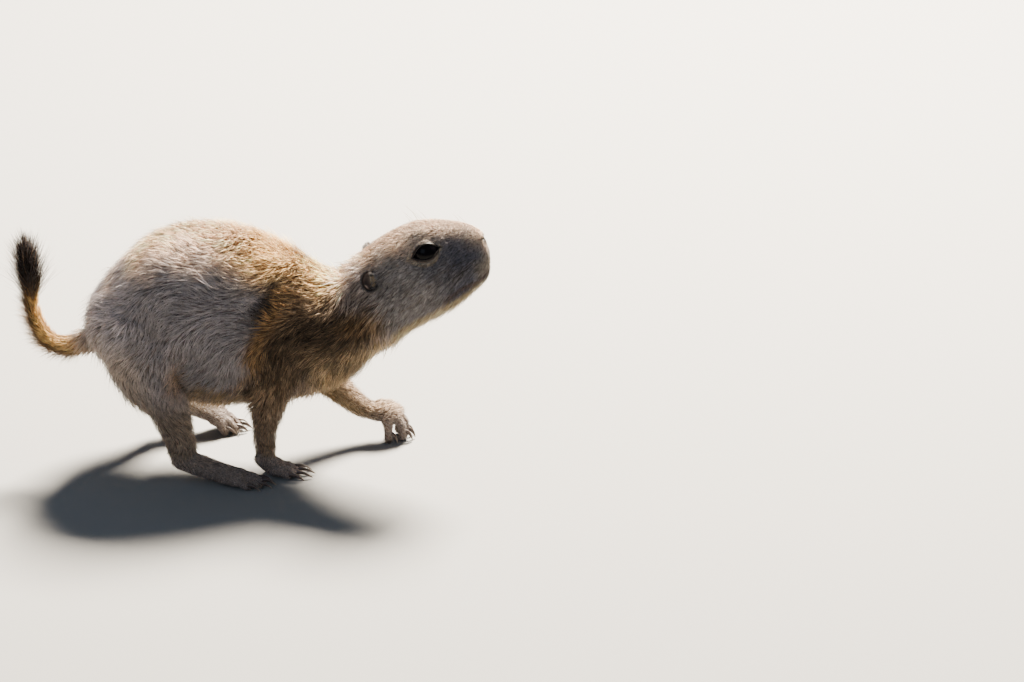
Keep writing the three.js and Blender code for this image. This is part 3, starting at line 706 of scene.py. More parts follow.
# A brown shoulder ahead of the crease, a tawny belly, and ochre beside the crease and in two spots
on_shoulder = soft(crease, -2, 3) * soft(z, 104, 84) * soft(nz, -0.7, -0.1) * soft(nz, 0.85, 0.35)
marks_and_painted_light = laid(marks_and_painted_light, SHOULDER, on_shoulder)
marks_and_painted_light = laid(marks_and_painted_light, BELLY, soft(nz + 0.04 * wander, -0.25, -0.8))
by_crease = (0.35 + 0.4 * soft(z, 56, 76)) * hill(crease - 3.5, 4.2) * soft(z, 100, 88) * soft(z, 36, 50)
marks_and_painted_light = laid(marks_and_painted_light, OCHRE, by_crease)
marks_and_painted_light = laid(marks_and_painted_light, OCHRE, 0.5 * flank_spot(22, 84, 9, 6) * soft(crease, -2, 3))
marks_and_painted_light = laid(marks_and_painted_light, OCHRE, 0.6 * flank_spot(-31, 52, 5, 9) * soft(np.abs(y), 8, 16))

# The neck: painted shade in the fold across the throat with ochre over it, a dark spot higher up, a grey
# nape, and a band of painted shade along its side
fold_line = z - (62.5 + (x - 41.5) * 0.6 + 0.4 * wander)
beside = soft(np.abs(y), 8, 14)
throat_fold_shade = hill(fold_line, 1.5) * soft(x, 38, 43) * soft(x, 55, 51) * beside
marks_and_painted_light = laid(marks_and_painted_light, OCHRE, 0.55 * flank_spot(47, 71.5, 5, 3) * beside)
marks_and_painted_light *= (1 - 0.6 * throat_fold_shade - 0.4 * flank_spot(42, 81, 4, 3.5) * beside)[:, None]
marks_and_painted_light = laid(marks_and_painted_light, FLANK, 0.6 * soft(x, 37, 44) * soft(nz, 0.9, 0.5) * soft(z, 76, 84))
shade_band = hill(z - 69 - 0.12 * (x - 30) - wander, 10) * soft(crease, 4, 10)
shade_band = shade_band * soft(x, 58, 50) * soft(np.abs(y), 8, 15)
marks_and_painted_light *= (1 - 0.5 * shade_band)[:, None]

# Plain legs with ochre over the forelegs, a tawny breast and a cream throat
marks_and_painted_light = laid(marks_and_painted_light, SHANK, limb_share * soft(z, 50, 30))
marks_and_painted_light = laid(marks_and_painted_light, OCHRE * 0.7, 0.4 * limb_share * soft(z, 52, 38) * soft(x, -10, 0))
marks_and_painted_light = laid(marks_and_painted_light, BELLY, soft(z, 68, 58) * soft(x, 20, 34) * soft(x, 70, 56) * soft(nz, 0.15, -0.45))
marks_and_painted_light = laid(marks_and_painted_light, UNDER, 0.55 * soft(nz, -0.3, -0.75) * soft(x, 40, 56))

# The head: grey cheeks, a pale crown, partly painted sunlight on the head's top, a blue-grey muzzle, partly
# painted shade, dark lips with painted shade along the jaw's crease behind them, and cream under the jaw
jaw = -6.2 - 0.105 * (48 - f)
head_rows = np.array(HEAD)
under_top = np.interp(f, head_rows[:, 0], head_rows[:, 1]) - u
# The pale crown is partly its own colour and partly painted sunlight on the head's top; it narrows over the
# temple
temple = soft(f, 24, 12)
head_marks_and_painted_light = laid(CHEEK, CROWN_AND_SUNLIT_TOP, soft(under_top - wander, 12 - 5 * temple, 2 - temple))
# The muzzle's dark blue-grey, growing towards the nose, is partly its own colour and partly painted shade
on_muzzle_and_shade = 0.9 * soft(f + 1.5 * wander, 20, 46) * soft(under_top + 0.6 * wander, 1, 8)
head_marks_and_painted_light = laid(head_marks_and_painted_light, MUZZLE_AND_SHADE, on_muzzle_and_shade * soft(np.abs(left), 2, 8))
head_marks_and_painted_light = laid(head_marks_and_painted_light, UNDER, 0.25 * soft(f, 44, 50) * soft(u, 7, 0) * soft(u, -6, -3))
# Dark lips in front, and painted shade along the jaw's crease behind them
on_lip_and_jaw_shade = 0.7 * hill(u - jaw - 1.0 - 0.3 * wander, 1.3) * soft(f, 24, 34) * soft(f, 53, 48)
head_marks_and_painted_light = laid(head_marks_and_painted_light, LIP_AND_JAW_SHADE, on_lip_and_jaw_shade)
head_marks_and_painted_light = laid(head_marks_and_painted_light, UNDER, soft(u, jaw, jaw - 2.2) * soft(f, 53, 50))
# A painted shadow darkens the cheek in front of the ear
shadow_before_ear = oval(f - 7, u - 9, 1.7, 4.5) * soft(np.abs(left), 8, 12)
head_marks_and_painted_light *= (1 - 0.5 * shadow_before_ear)[:, None]
marks_and_painted_light = laid(marks_and_painted_light, head_marks_and_painted_light, head_share)

# The feet, with painted shade between the toes, and the tail, golden, brown outside and black at its end.
# It curls about this middle.
CURL = [-78, 0, 76]
marks_and_painted_light = laid(marks_and_painted_light, FOOT, foot_share) * (1 - 0.85 * toe_gap ** 2.5)[:, None]
marks_and_painted_light = laid(marks_and_painted_light, GOLD, tail_share * soft(x, -66, -78))
from_curl = x - CURL[0], z - CURL[2]
outside = (nx * from_curl[0] + nz * from_curl[1]) / np.hypot(*from_curl)
marks_and_painted_light = laid(marks_and_painted_light, BROWN, 0.8 * tail_share * soft(x, -68, -76) * soft(outside, 0.2, 0.75))
marks_and_painted_light = laid(marks_and_painted_light, BLACK, tail_share * soft(z + 0.3 * (x + 97), 74, 88))

# Painted shade darkens the crease, and the hair over the rump is paler
crease_shade = 0.9 * hill(crease + 1.5, 3) * soft(z, 66, 80) * soft(z, 95, 89) * (1 - head_share)
marks_and_painted_light *= (1 - crease_shade)[:, None]
marks_and_painted_light *= (1 + 0.3 * soft(x, -40, -60) * soft(z, 50, 66) * (1 - tail_share))[:, None]

# Share of the hairs that are dark at the tip
ticked = 0.42 + 0.25 * soft(nz, 0.1, -0.2) - 0.25 * soft(nz, 0.3, 0.8) - 0.3 * soft(nz, -0.4, -0.8)
# Along the crease, the shade band and the throat's fold more tips are dark, which adds to the painted shade
# there
ticked = ticked + 0.5 * hill(crease, 5) * soft(z, 64, 76) * soft(z, 98, 88)
ticked = ticked + 0.2 * soft(crease, 2, 10) * soft(x, 60, 48) + 0.3 * shade_band
ticked = ticked - 0.3 * tail_share - 0.2 * head_share
ticked = ticked + 0.25 * head_share * soft(under_top, 4, 12) + 0.3 * throat_fold_shade
ticked = np.clip(ticked, 0.04, 0.9)

# How strongly the clumps of hair differ from one another in tone, most on the shoulders and the cheeks
on_front = 2.2 * soft(crease, -3, 6) * (1 - head_share) * soft(z, 30, 45) * soft(nz, -0.8, -0.3)
mottled = 1 + on_front + 1.1 * head_share * soft(under_top, 3, 10)

# Length of the hair: on the body, the leg and how much more on the thigh, the tail, the foot and how much
# less on the toes, and the nape; on the head it falls towards the nose, and is longer under the jaw
HAIR = {"body": 8.2, "leg": 4.2, "thigh": 3.6, "tail": 4.5, "foot": 1.9, "toe": 0.9, "nape": 5.2}
long = HAIR["body"] * body_share + limb_share * (HAIR["leg"] + HAIR["thigh"] * soft(z, 20, 48))
long = long + HAIR["tail"] * tail_share
long = long * (1 - foot_share) + (HAIR["foot"] - HAIR["toe"] * soft(z, 9, 5)) * foot_share
head_long = HAIR["nape"] - 1.4 * soft(f, 4, 20) - 1.4 * soft(f, 28, 46) - 0.9 * soft(f, 47, 53)
head_long = head_long + 2.6 * soft(u, jaw + 1, jaw - 4) * soft(f, 54, 46)
long = long * (1 - head_share) + head_long * head_share

# The skin is bare on the nose, the lips, the soles and the ears' feet
nose = oval(left, u - 9.6, 2.9, 2.5) * soft(f, 50.5, 52)
bare = np.maximum(soft(nose, 0.35, 0.6), soft(off_mouth(points), 0.7, 0.4) * soft(f, 40, 42))
bare = np.maximum(bare, soft(nz, -0.55, -0.8) * soft(z, 6, 3))
for side in (RIGHT, LEFT):
    d = points - axes_of(EAR, side)[0]
    bare = np.maximum(bare, soft(np.linalg.norm(d + 1.4 * forward, axis=1), 3.7, 3.0))

# Round each eye: a dark bare lid that runs out to a point in front, short hair, a pale ring, and painted
# shade in a fold above it
for side in (RIGHT, LEFT):
    a, b, out = eye_place(points, side)
    place = np.where(out > -1, lens(a, b), 9)
    corner = oval(a - EYE_OPENING["half"] - 0.3, b, 1.3, 0.7) * (out > -1)
    lid = np.maximum(soft(place, 1.3, 1.15), soft(corner, 0.3, 0.6))
    bare = np.maximum(bare, lid)
    long = long * (0.3 + 0.7 * soft(place, 1.1, 3.2))
    marks_and_painted_light = laid(marks_and_painted_light, UNDER, (0.5 - 0.3 * soft(b, 0, 2)) * hill(place - 1.6, 0.28))
    fold_shade = hill(place - 2.35, 0.16) * soft(b, 0.5, 2) * soft(a, -5, -1)
    marks_and_painted_light *= (1 - 0.5 * fold_shade)[:, None]
    marks_and_painted_light = laid(marks_and_painted_light, BLACK, lid)
# Painted shade fills the mouth's groove and the nostrils; the nose itself is dark bare skin
mouth_and_nostril_shade = np.maximum(0.9 * groove, nostril * soft(nostril, 0.2, 0.6))
marks_and_painted_light = laid(marks_and_painted_light, paint(40, 30, 28), np.maximum(soft(nose, 0.3, 0.5), mouth_and_nostril_shade))


def colour_points(mesh, name, colours):
    """Gives a mesh's vertices an attribute of colours."""
    layer = mesh.color_attributes.new(name, "FLOAT_COLOR", "POINT")
    opaque = np.column_stack([colours, np.ones(len(colours))])
    layer.data.foreach_set("color", opaque.astype(np.float32).ravel())


def new_finish(name, roughness, specular):
    """A finish of a roughness and a shine, and its shader."""
    finish = bpy.data.materials.new(name)
    finish.use_nodes = True
    shader = finish.node_tree.nodes["Principled BSDF"]
    shader.inputs["Roughness"].default_value = roughness
    shader.inputs["Specular IOR Level"].default_value = specular
    return finish, shader


def finish_from(name, attribute, roughness, specular):
    """A finish that takes its colour from the mesh's attribute. Gives it with its nodes and links, the
    node that reads the attribute and the shader."""
    finish, shader = new_finish(name, roughness, specular)
    nodes, links = finish.node_tree.nodes, finish.node_tree.links
    colour = nodes.new("ShaderNodeVertexColor")
    colour.layer_name = attribute
    links.new(colour.outputs["Color"], shader.inputs["Base Color"])
    return finish, nodes, links, colour, shader


# The hide lies in the shade between the hairs, so it is darker than they are
HIDE_SHADE = (0.45, 0.4, 0.36, 1)
colour_points(skin.data, "markings_and_painted_light", marks_and_painted_light)
hide, nodes, links, colour, shader = finish_from("skin_finish", "markings_and_painted_light", 0.75, 0.2)
darker = nodes.new("ShaderNodeMix")
darker.data_type = "RGBA"
darker.blend_type = "MULTIPLY"
darker.inputs["Factor"].default_value = 1
darker.inputs["B"].default_value = HIDE_SHADE
links.new(colour.outputs["Color"], darker.inputs["A"])
links.new(darker.outputs["Result"], shader.inputs["Base Color"])
skin.data.materials.append(hide)
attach(skin, "root")
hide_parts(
    "head", "neck", "chest", "abdomen", "rump", "tail_base", "tail_middle", "tail_brush",
    *[f"{part}_{side}" for part in ("thigh", "shank", "hindfoot", "upper_arm", "forearm", "forepaw")
      for side in ("right", "left")],
)

# Coat
# The fur, some 112,000 flat tapered tufts of hair. They grow out of the skin and lie along the body,
# clumped towards their tips. Each is dark at the root, and many are dark again at the tip.

rng = np.random.default_rng(11)
# Least height of a hair over the floor, and size of its patch on the skin's map
HAIR_FLOOR = 0.08
PATCH = 0.0015


def strands(name, centres, tip, half, thin, across, top, shades, corner, finish):
    """A piece of many closed three-sided hairs. Each hair has rings at its centres [hair, ring], of
    half width half [hair, ring] and thin times that in depth, and a point at its tip. across and top
    are the ways to its side and its upper side, shades its colours at each ring and the tip, and corner
    its root's place on the skin's map."""
    n, rings = half.shape
    wide = across[:, None] * half[..., None]
    deep = top[:, None] * (half * thin)[..., None]
    ring = np.stack([centres + wide, centres + deep, centres - wide], 2).reshape(n, rings * 3, 3)
    vertices = np.concatenate([ring, tip[:, None]], 1)
    vertices[..., 2] = np.maximum(vertices[..., 2], HAIR_FLOOR)
    each = rings * 3 + 1
    quads, tris = [], [[2, 1, 0]]
    for k in range(rings - 1):
        for j in range(3):
            quads.append([3 * k + j, 3 * k + (j + 1) % 3, 3 * k + 3 + (j + 1) % 3, 3 * k + 3 + j])
    for j in range(3):
        tris.append([3 * rings - 3 + j, 3 * rings - 3 + (j + 1) % 3, 3 * rings])
    first = (np.arange(n) * each)[:, None, None]
    quads = (np.array(quads)[None] + first).reshape(-1, 4)
    tris = (np.array(tris)[None] + first).reshape(-1, 3)
    piece = new_piece(name, vertices.reshape(-1, 3), quads, tris)
    mesh = piece.data
    shade = np.concatenate([np.repeat(shades[:, :-1], 3, axis=1), shades[:, -1:]], 1)
    colour_points(mesh, "shade", shade.reshape(-1, 3))
    along = np.repeat(np.linspace(-1, 1, rings + 1)[:-1], 3)
    patch = np.column_stack([np.append(np.tile([-1.0, 0, 1], rings), 0), np.append(along, 1)]) * PATCH
    place = (corner[:, None] + patch[None]).reshape(-1, 2)
    used = np.empty(len(mesh.loops), np.int32)
    mesh.loops.foreach_get("vertex_index", used)
    mesh.uv_layers.new(name="OFBake").data.foreach_set("uv", place[used].astype(np.float32).ravel())
    mesh.materials.append(finish)
    return piece


def hair_finish(name, roughness, specular, thin=0.0):
    """Hair that takes its colour from its own shades, and lets a share of the light through."""
    finish, nodes, links, colour, shader = finish_from(name, "shade", roughness, specular)
    if thin:
        through, both = nodes.new("ShaderNodeBsdfTranslucent"), nodes.new("ShaderNodeMixShader")
        both.inputs["Fac"].default_value = thin
        links.new(colour.outputs["Color"], through.inputs["Color"])
        links.new(shader.outputs["BSDF"], both.inputs[1])
        links.new(through.outputs["BSDF"], both.inputs[2])
        links.new(both.outputs["Shader"], nodes["Material Output"].inputs["Surface"])
    return finish


fur = hair_finish("fur", roughness=0.62, specular=0.2, thin=0.4)

# Roots are scattered over the skin's triangles, the denser the shorter and finer the hair is there: a
# full-length hair's width and length, its depth against its width, and how many times hair covers skin
HAIR_WIDTH = 0.31
HAIR_FLATNESS = 0.45
COVER = 4.3
FULL_LENGTH = 8
mesh = skin.data
mesh.calc_loop_triangles()
tri_count = len(mesh.loop_triangles)
tri = np.empty(tri_count * 3, np.int32)
tri_loops = np.empty(tri_count * 3, np.int32)
mesh.loop_triangles.foreach_get("vertices", tri)
mesh.loop_triangles.foreach_get("loops", tri_loops)
tri, tri_loops = tri.reshape(-1, 3), tri_loops.reshape(-1, 3)
uv = np.empty(len(mesh.loops) * 2, np.float32)
mesh.uv_layers[0].data.foreach_get("uv", uv)
uv = uv.reshape(-1, 2)
vertex_uv = np.zeros((len(points), 2))
vertex_uv[tri] = uv[tri_loops]
corner = points[tri]
area = np.linalg.norm(np.cross(corner[:, 1] - corner[:, 0], corner[:, 2] - corner[:, 0]), axis=1) / 2
broad = HAIR_WIDTH * (0.62 + 0.38 * np.clip(long / FULL_LENGTH, 0, 1))
want = COVER / (np.maximum(long, 1.2) * broad) * (1 - bare) * (1 - 0.35 * foot_share)
weight = area * want[tri].mean(axis=1)
count = int(weight.sum())
pick = np.searchsorted(np.cumsum(weight), rng.random(count) * weight.sum())
pick = np.minimum(pick, tri_count - 1)
r1 = np.sqrt(rng.random(count))
r2 = rng.random(count)
bary = np.stack([1 - r1, r1 * (1 - r2), r1 * r2], 1)


def at_roots(field):
    """A field of the skin's vertices at the hairs' roots."""
    return np.einsum("nk,nk...->n...", bary, field[tri[pick]])


# A few guard hairs are longer and thinner, and every hair strays a little from the lie of the coat
STRAY = np.radians(9)
GUARD = {"share": 0.08, "length": 1.3, "width": 0.7}
root = at_roots(points)
up_way = unit(at_roots(normals))
way = unit(square_to(at_roots(lie), up_way))
across = np.cross(up_way, way)
way = leant(way, across, rng.normal(0, STRAY, count))
length = at_roots(long) * rng.uniform(0.75, 1.2, count)
guard = rng.random(count) < GUARD["share"]
length = np.where(guard, length * GUARD["length"], length)
half_width = at_roots(broad) / 2 * rng.uniform(0.75, 1.25, count) * np.where(guard, GUARD["width"], 1)
root_uv = np.einsum("nk,nkc->nc", bary, uv[tri_loops[pick]])
hair_marks_and_painted_light = at_roots(marks_and_painted_light)
hair_tick = at_roots(ticked)
mottle = at_roots(mottled)


def clump(places, size, seed):
    """The nearest of scattered clump middles, one in each cell of a grid, and a number for it. The
    scatter is the fraction of a large sine of the cell's number, so it needs no random draws."""
    cell = np.floor(places / size).astype(np.int64)
    best = np.full(len(places), 1e9)
    middle, key = np.zeros_like(places), np.zeros(len(places))
    for step in np.ndindex(3, 3, 3):
        c = cell + np.array(step) - 1
        mixed = (c * [73856093, 19349663, 83492791]).sum(axis=1) + seed * 7919
        spots = [np.modf(np.abs(np.sin(mixed * k) * 43758.5453))[0] for k in (0.0123, 0.0217, 0.0331)]
        spots = np.stack(spots, 1)
        spot = (c + spots) * size
        d = np.linalg.norm(places - spot, axis=1)
        closer = d < best
        best = np.where(closer, d, best)
        middle = np.where(closer[:, None], spot, middle)
        key = np.where(closer, spots[:, 0], key)
    return middle, key


# Clumps in clumps: [size in full-length fur, how far they pull the hairs in, how much their tones differ]
CLUMPS = [[1.5, 0.45, 0.3], [4, 0.25, 0.2], [9, 0.06, 0.14]]
pull = np.zeros_like(root)
tone = np.ones(count)
small = np.clip(at_roots(long) / FULL_LENGTH, 0.25, 1)
for seed, (size, strength, contrast) in enumerate(CLUMPS, 1):
    middle, key = clump(root / small[:, None], size, seed)
    pull += strength * (middle * small[:, None] - root)
    tone *= 1 + contrast * mottle * (key - 0.5)
    hair_tick = hair_tick + 0.5 * contrast * mottle * (0.5 - key)
pull = square_to(pull, up_way)

# The lower half of a hair stands up by the first angle, and less where hair is short, and the upper half
# lies down to the second: [degrees, spread, more for a guard hair]
LIFT = [30, 6, 9]
LAY = [9, 6, 6]
lift, lay = (
    np.radians(rng.normal(mean, spread, count) + np.where(guard, more, 0))
    for mean, spread, more in (LIFT, LAY)
)
lift = lift * (0.55 + 0.45 * small)
mid = root + 0.5 * length[:, None] * leant(way, up_way, lift) + 0.4 * pull
tip = mid + 0.5 * length[:, None] * leant(way, up_way, lay) + 0.6 * pull
base = root - 0.25 * up_way
dark_tip = rng.random(count) < hair_tick
own = tone * (1 + 0.15 * mottle * rng.uniform(-1, 1, count))
# Shade of a hair at its root, partly its own dark base and partly painted shade deep in the coat, and at
# its tip where that is dark or pale, against its colour
ROOT_SHADE, DARK_TIP, PALE_TIP = 0.42, 0.18, 1.25
shades = np.stack([
    hair_marks_and_painted_light * (ROOT_SHADE * own)[:, None],
    hair_marks_and_painted_light * own[:, None],
    np.where(dark_tip[:, None], hair_marks_and_painted_light * DARK_TIP, hair_marks_and_painted_light * (PALE_TIP * own)[:, None]),
], 1)
shades = np.clip(shades, 0, 0.9)
centres = np.stack([base, mid], 1)
half = np.stack([half_width * 0.8, half_width], 1)
across = unit(np.cross(up_way, unit(tip - base)))

# The parts of the coat, each with what the ones before it leave
root_x, root_y, _ = root.T
on_foot, on_tail, on_limb = (at_roots(field) > 0.5 for field in (foot_share, tail_share, limb_share))
COAT = {
    "fur_fore_feet": on_foot & ((root_x > 2) | (root_x > -3) & (np.abs(root_y) < 24)),
    "fur_hind_feet": on_foot,
    "fur_tail": on_tail,
    "fur_fore_legs": on_limb & (root_x > -20),
    "fur_hind_legs": on_limb & (root_x <= -20),
    "fur_muzzle": at_roots(f) > 36,
    "fur_head": at_roots(f) > 14,
    "fur_neck": root_x > 42,
    "fur_shoulders": root_x > 14,
    "fur_ribs": root_x > -14,
    "fur_loins": root_x > -42,
    "fur_rump": root_x <= -42,
}
free = np.ones(count, bool)
for name, chosen in COAT.items():
    k = chosen & free
    free &= ~chosen
    piece = strands(name, centres[k], tip[k], half[k], HAIR_FLATNESS, across[k], up_way[k], shades[k],
                    root_uv[k], fur)
    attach(piece, "root")

# Eyes
# A wet ball of near-black brown, glass on the model, set in the socket behind a thin dark edge of the
# lids, which follows the ball and is drawn out to a point at both corners.


def in_order(middle, side, rise):
    """Sections put in the order that makes the surface over them face outwards: their middles then go
    the way of side x rise."""
    ahead = (middle[-1] - middle[0]) @ np.cross(side, rise)[len(side) // 2]
    return (middle, side, rise) if ahead > 0 else (middle[::-1], side[::-1], rise[::-1])


def plain_finish(name, colour, roughness, specular=0.5):
    """A finish of one colour."""
    finish, shader = new_finish(name, roughness, specular)
    shader.inputs["Base Color"].default_value = (*colour, 1)
    return finish


# Points of a ball from front to back and round it; points along a lid's edge and round it, and its half
# width and half depth
BALL_POINTS, BALL_AROUND = 48, 64
LID_POINTS, LID_AROUND = 120, 12
LID_HALF = [0.45, 0.32]
eye_gloss = plain_finish("eye_gloss", (0.002, 0.0015, 0.002), roughness=0.05, specular=0.06)
lid_edge = plain_finish("lid_edge", (0.012, 0.009, 0.008), roughness=0.5, specular=0.15)
for side, name in ((RIGHT, "right"), (LEFT, "left")):
    # The ball: sections from its front to its back
    eye, look, along, across = axes_of(EYE, side)
    dip = np.linspace(0.04, np.pi - 0.04, BALL_POINTS)[:, None]
    middle = eye + look * EYE_RADIUS * np.cos(dip)
    sections = in_order(middle, along * EYE_RADIUS * np.sin(dip), across * EYE_RADIUS * np.sin(dip))
    ball = new_piece(f"eyeball_{name}", *closed_surface(*sections, BALL_AROUND))
    ball.data.materials.append(eye_gloss)
    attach(ball, "root")
    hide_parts(f"eye_{name}")

    # The lid's edge: a thin ring round the opening, as high as the skin there, or just over the ball
    turn = np.linspace(0, 2 * np.pi, LID_POINTS, endpoint=False)
    a = EYE_OPENING["half"] * np.cos(turn)
    b = np.where(np.sin(turn) > 0, EYE_OPENING["over"], -EYE_OPENING["under"]) * np.sin(turn) ** 2
    skin_a, skin_b, skin_out = eye_place(points, side)
    close = (skin_out > 0) & (np.linalg.norm(points - eye, axis=1) < 10) & (lens(skin_a, skin_b) > 1)
    skin_a, skin_b, skin_out = skin_a[close], skin_b[close], skin_out[close]
    nearest = np.hypot(skin_a[None] - a[:, None], skin_b[None] - b[:, None]).argmin(axis=1)
    over_ball = np.sqrt(np.maximum(EYE_RADIUS ** 2 - a ** 2 - b ** 2, 1)) + 0.1
    height = np.maximum(skin_out[nearest] - 0.2, over_ball)
    for _ in range(12):
        height = (np.roll(height, 1) + height + np.roll(height, -1)) / 3
    middle = eye + along * a[:, None] + across * b[:, None] + look * height[:, None]
    way = unit(np.roll(middle, -1, 0) - np.roll(middle, 1, 0))
    outward = unit(middle - eye)
    beside = np.cross(way, outward)
    around = np.linspace(0, 2 * np.pi, LID_AROUND, endpoint=False)[None, :, None]
    wide = beside[:, None] * LID_HALF[0] * np.cos(around)
    tube = middle[:, None] + wide + outward[:, None] * LID_HALF[1] * np.sin(around)
    i, j = np.meshgrid(np.arange(LID_POINTS), np.arange(LID_AROUND), indexing="ij")
    at = lambda p, q: (p % LID_POINTS) * LID_AROUND + q % LID_AROUND
    quads = np.stack([at(i, j), at(i, j + 1), at(i + 1, j + 1), at(i + 1, j)], -1).reshape(-1, 4)
    rim = new_piece(f"lid_edge_{name}", tube.reshape(-1, 3), quads, np.empty((0, 3), int))
    rim.data.materials.append(lid_edge)
    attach(rim, "root")

# Ears
# A low round cup of thin skin on each side of the head, highest behind. It is dark outside and on its rim,
# has painted shade on its inner rear side and in its canal, and is pale on its floor, and short hair grows
# on its back, its rim and in front inside.

# Half sizes of the cup along the head and across, and points round it
EAR_SIZE = [3.3, 3.9]
EAR_AROUND = 64
# Across the cup: [share of its half size, height], from under its foot over the rim into the hollow
EAR_PROFILE = np.array([
    [0.3, -2.4], [0.85, -2.2], [1.0, -1.0], [1.05, 0.6], [1.06, 2.0], [1.04, 3.0], [1.0, 3.4], [0.95, 3.4],
    [0.9, 3.0], [0.84, 2.0], [0.74, 0.9], [0.55, 0.0], [0.3, -0.5], [0.1, -0.6],
])
EAR_COLOURS = {
    "outside": paint(110, 96, 86), "rim": paint(74, 62, 58), "wall_shade": paint(48, 40, 39),
    "floor": paint(196, 178, 150), "canal_shade": paint(30, 24, 23),
}
# Hairs of an ear: how many, the shares that grow outside and on the rim, the rest being inside, their
# half width, and the colours of those on the rim and inside
EAR_HAIRS = 1500
EAR_OUTSIDE, EAR_RIM = 0.65, 0.2
EAR_HAIR_HALF = 0.11
RIM_HAIR, INNER_HAIR = paint(70, 58, 54), paint(190, 172, 144)
ear_skin = hair_finish("ear_skin", roughness=0.7, specular=0.25)


def ear_point(side, turn, reach, rise):
    """Points of the cup: turn goes round it from its front edge upwards, reach is the share of its half
    size, and rise the height, which the front edge has less of."""
    middle, look, along, across = axes_of(EAR, side)
    stand = soft(np.cos(turn - 2.6), -0.25, 0.55)
    rise = np.where(rise > 0, rise * stand * 0.9, rise) - 1.2 * (1 - stand)
    lean = -0.12 * np.maximum(rise, 0)
    spread = reach * (1 + 0.05 * np.sin(2 * turn))
    return (middle + along * (spread * EAR_SIZE[0] * np.cos(turn) + lean)[..., None]
            + across * (spread * EAR_SIZE[1] * np.sin(turn))[..., None] + look * rise[..., None])


for side, name in ((RIGHT, "right"), (LEFT, "left")):
    # The cup, and its colours row by row from the foot over the rim to the hollow
    look = axes_of(EAR, side)[1]
    turn = np.linspace(0, 2 * np.pi, EAR_AROUND, endpoint=False)[None]
    reach, rise = smooth_rows(EAR_PROFILE, 3).T[..., None]
    grid = ear_point(side, turn + 0 * reach, reach + 0 * turn, rise + 0 * turn)
    vertices, quads, tris = closed_grid(grid, grid[0].mean(axis=0) - 0.2 * look, grid[-1].mean(axis=0))
    if side == LEFT:
        quads, tris = quads[:, ::-1], tris[:, ::-1]
    cup = new_piece(f"ear_cup_{name}", vertices, quads, tris)
    row = np.linspace(0, 1, len(grid))[:, None] + 0 * turn
    ahead, above = reach * np.cos(turn), reach * np.sin(turn)
    pale = oval(ahead - 0.35, above + 0.2, 0.35, 0.42) * soft(row, 0.6, 0.7)
    opening_shade = oval(ahead - 0.55, above + 0.5, 0.22, 0.25) * soft(row, 0.6, 0.7)
    front = soft(np.cos(turn - 0.6), 0.45, 0.8) + 0 * row
    tone = laid(EAR_COLOURS["outside"], EAR_COLOURS["rim"], soft(row, 0.3, 0.5).ravel())
    # Painted shade darkens the cup's inner rear side and its canal
    tone = laid(tone, EAR_COLOURS["wall_shade"], soft(row, 0.5, 0.6).ravel())
    tone = laid(tone, 0.7 * CHEEK, front.ravel())
    tone = laid(tone, EAR_COLOURS["floor"], np.minimum(1.3 * pale, 1).ravel())
    tone = laid(tone, EAR_COLOURS["canal_shade"], np.minimum(1.3 * opening_shade, 1).ravel())
    colour_points(cup.data, "shade", np.vstack([tone[:1], tone, tone[-1:]]))
    cup.data.materials.append(ear_skin)
    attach(cup, "root")
    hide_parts(f"ear_{name}")

    # Its hair: on the back, on the rim and in the hollow's front
    n = EAR_HAIRS
    kind = rng.random(n)
    outer, edge = kind < EAR_OUTSIDE, kind < EAR_OUTSIDE + EAR_RIM
    turn = np.where(edge, rng.uniform(0.9, 5.6, n), rng.uniform(-1.4, 1.4, n))
    reach = np.where(outer, 1.05, np.where(edge, 0.98, rng.uniform(0.45, 0.8, n)))
    rise = np.where(outer, rng.uniform(-0.6, 3.2, n), np.where(edge, 3.3, 0.9))
    root = ear_point(side, turn, reach, rise)
    wider, narrower = (ear_point(side, turn, share + 0 * reach, rise) for share in (1.2, 0.8))
    outward = unit(wider - narrower)
    way = np.where(edge[:, None], 0.9 * look + 0.45 * outward, 0.5 * look - 0.2 * outward) - 0.8 * forward
    way = unit(way + 0.25 * rng.normal(size=(n, 3)))
    length = np.where(outer, rng.uniform(1.2, 2.2, n), rng.uniform(0.7, 1.4, n))[:, None]
    top = unit(square_to(outward, way))
    centres = np.stack([root - 0.2 * way, root + 0.5 * length * way], 1)
    shade = np.where(outer[:, None], 0.45 * CHEEK, np.where(edge[:, None], RIM_HAIR, INNER_HAIR))
    shade = shade * rng.uniform(0.65, 1.15, n)[:, None]
    shades = np.stack([0.6 * shade, shade, shade], 1)
    close = np.flatnonzero(np.linalg.norm(points - root.mean(axis=0), axis=1) < 12)
    nearest = close[np.linalg.norm(points[close][None] - root[:, None], axis=2).argmin(axis=1)]
    half = np.full((n, 2), EAR_HAIR_HALF) * [1, 0.8]
    ear_hair = strands(f"ear_hair_{name}", centres, root + length * way, half, 0.6, np.cross(top, way), top,
                       shades, vertex_uv[nearest], fur)
    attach(ear_hair, "root")

# Claws
# Curved claws of dark horn, five on each foot, rooted in the ends of the toes. They are oval across,
# taper to a point, and are paler towards it.

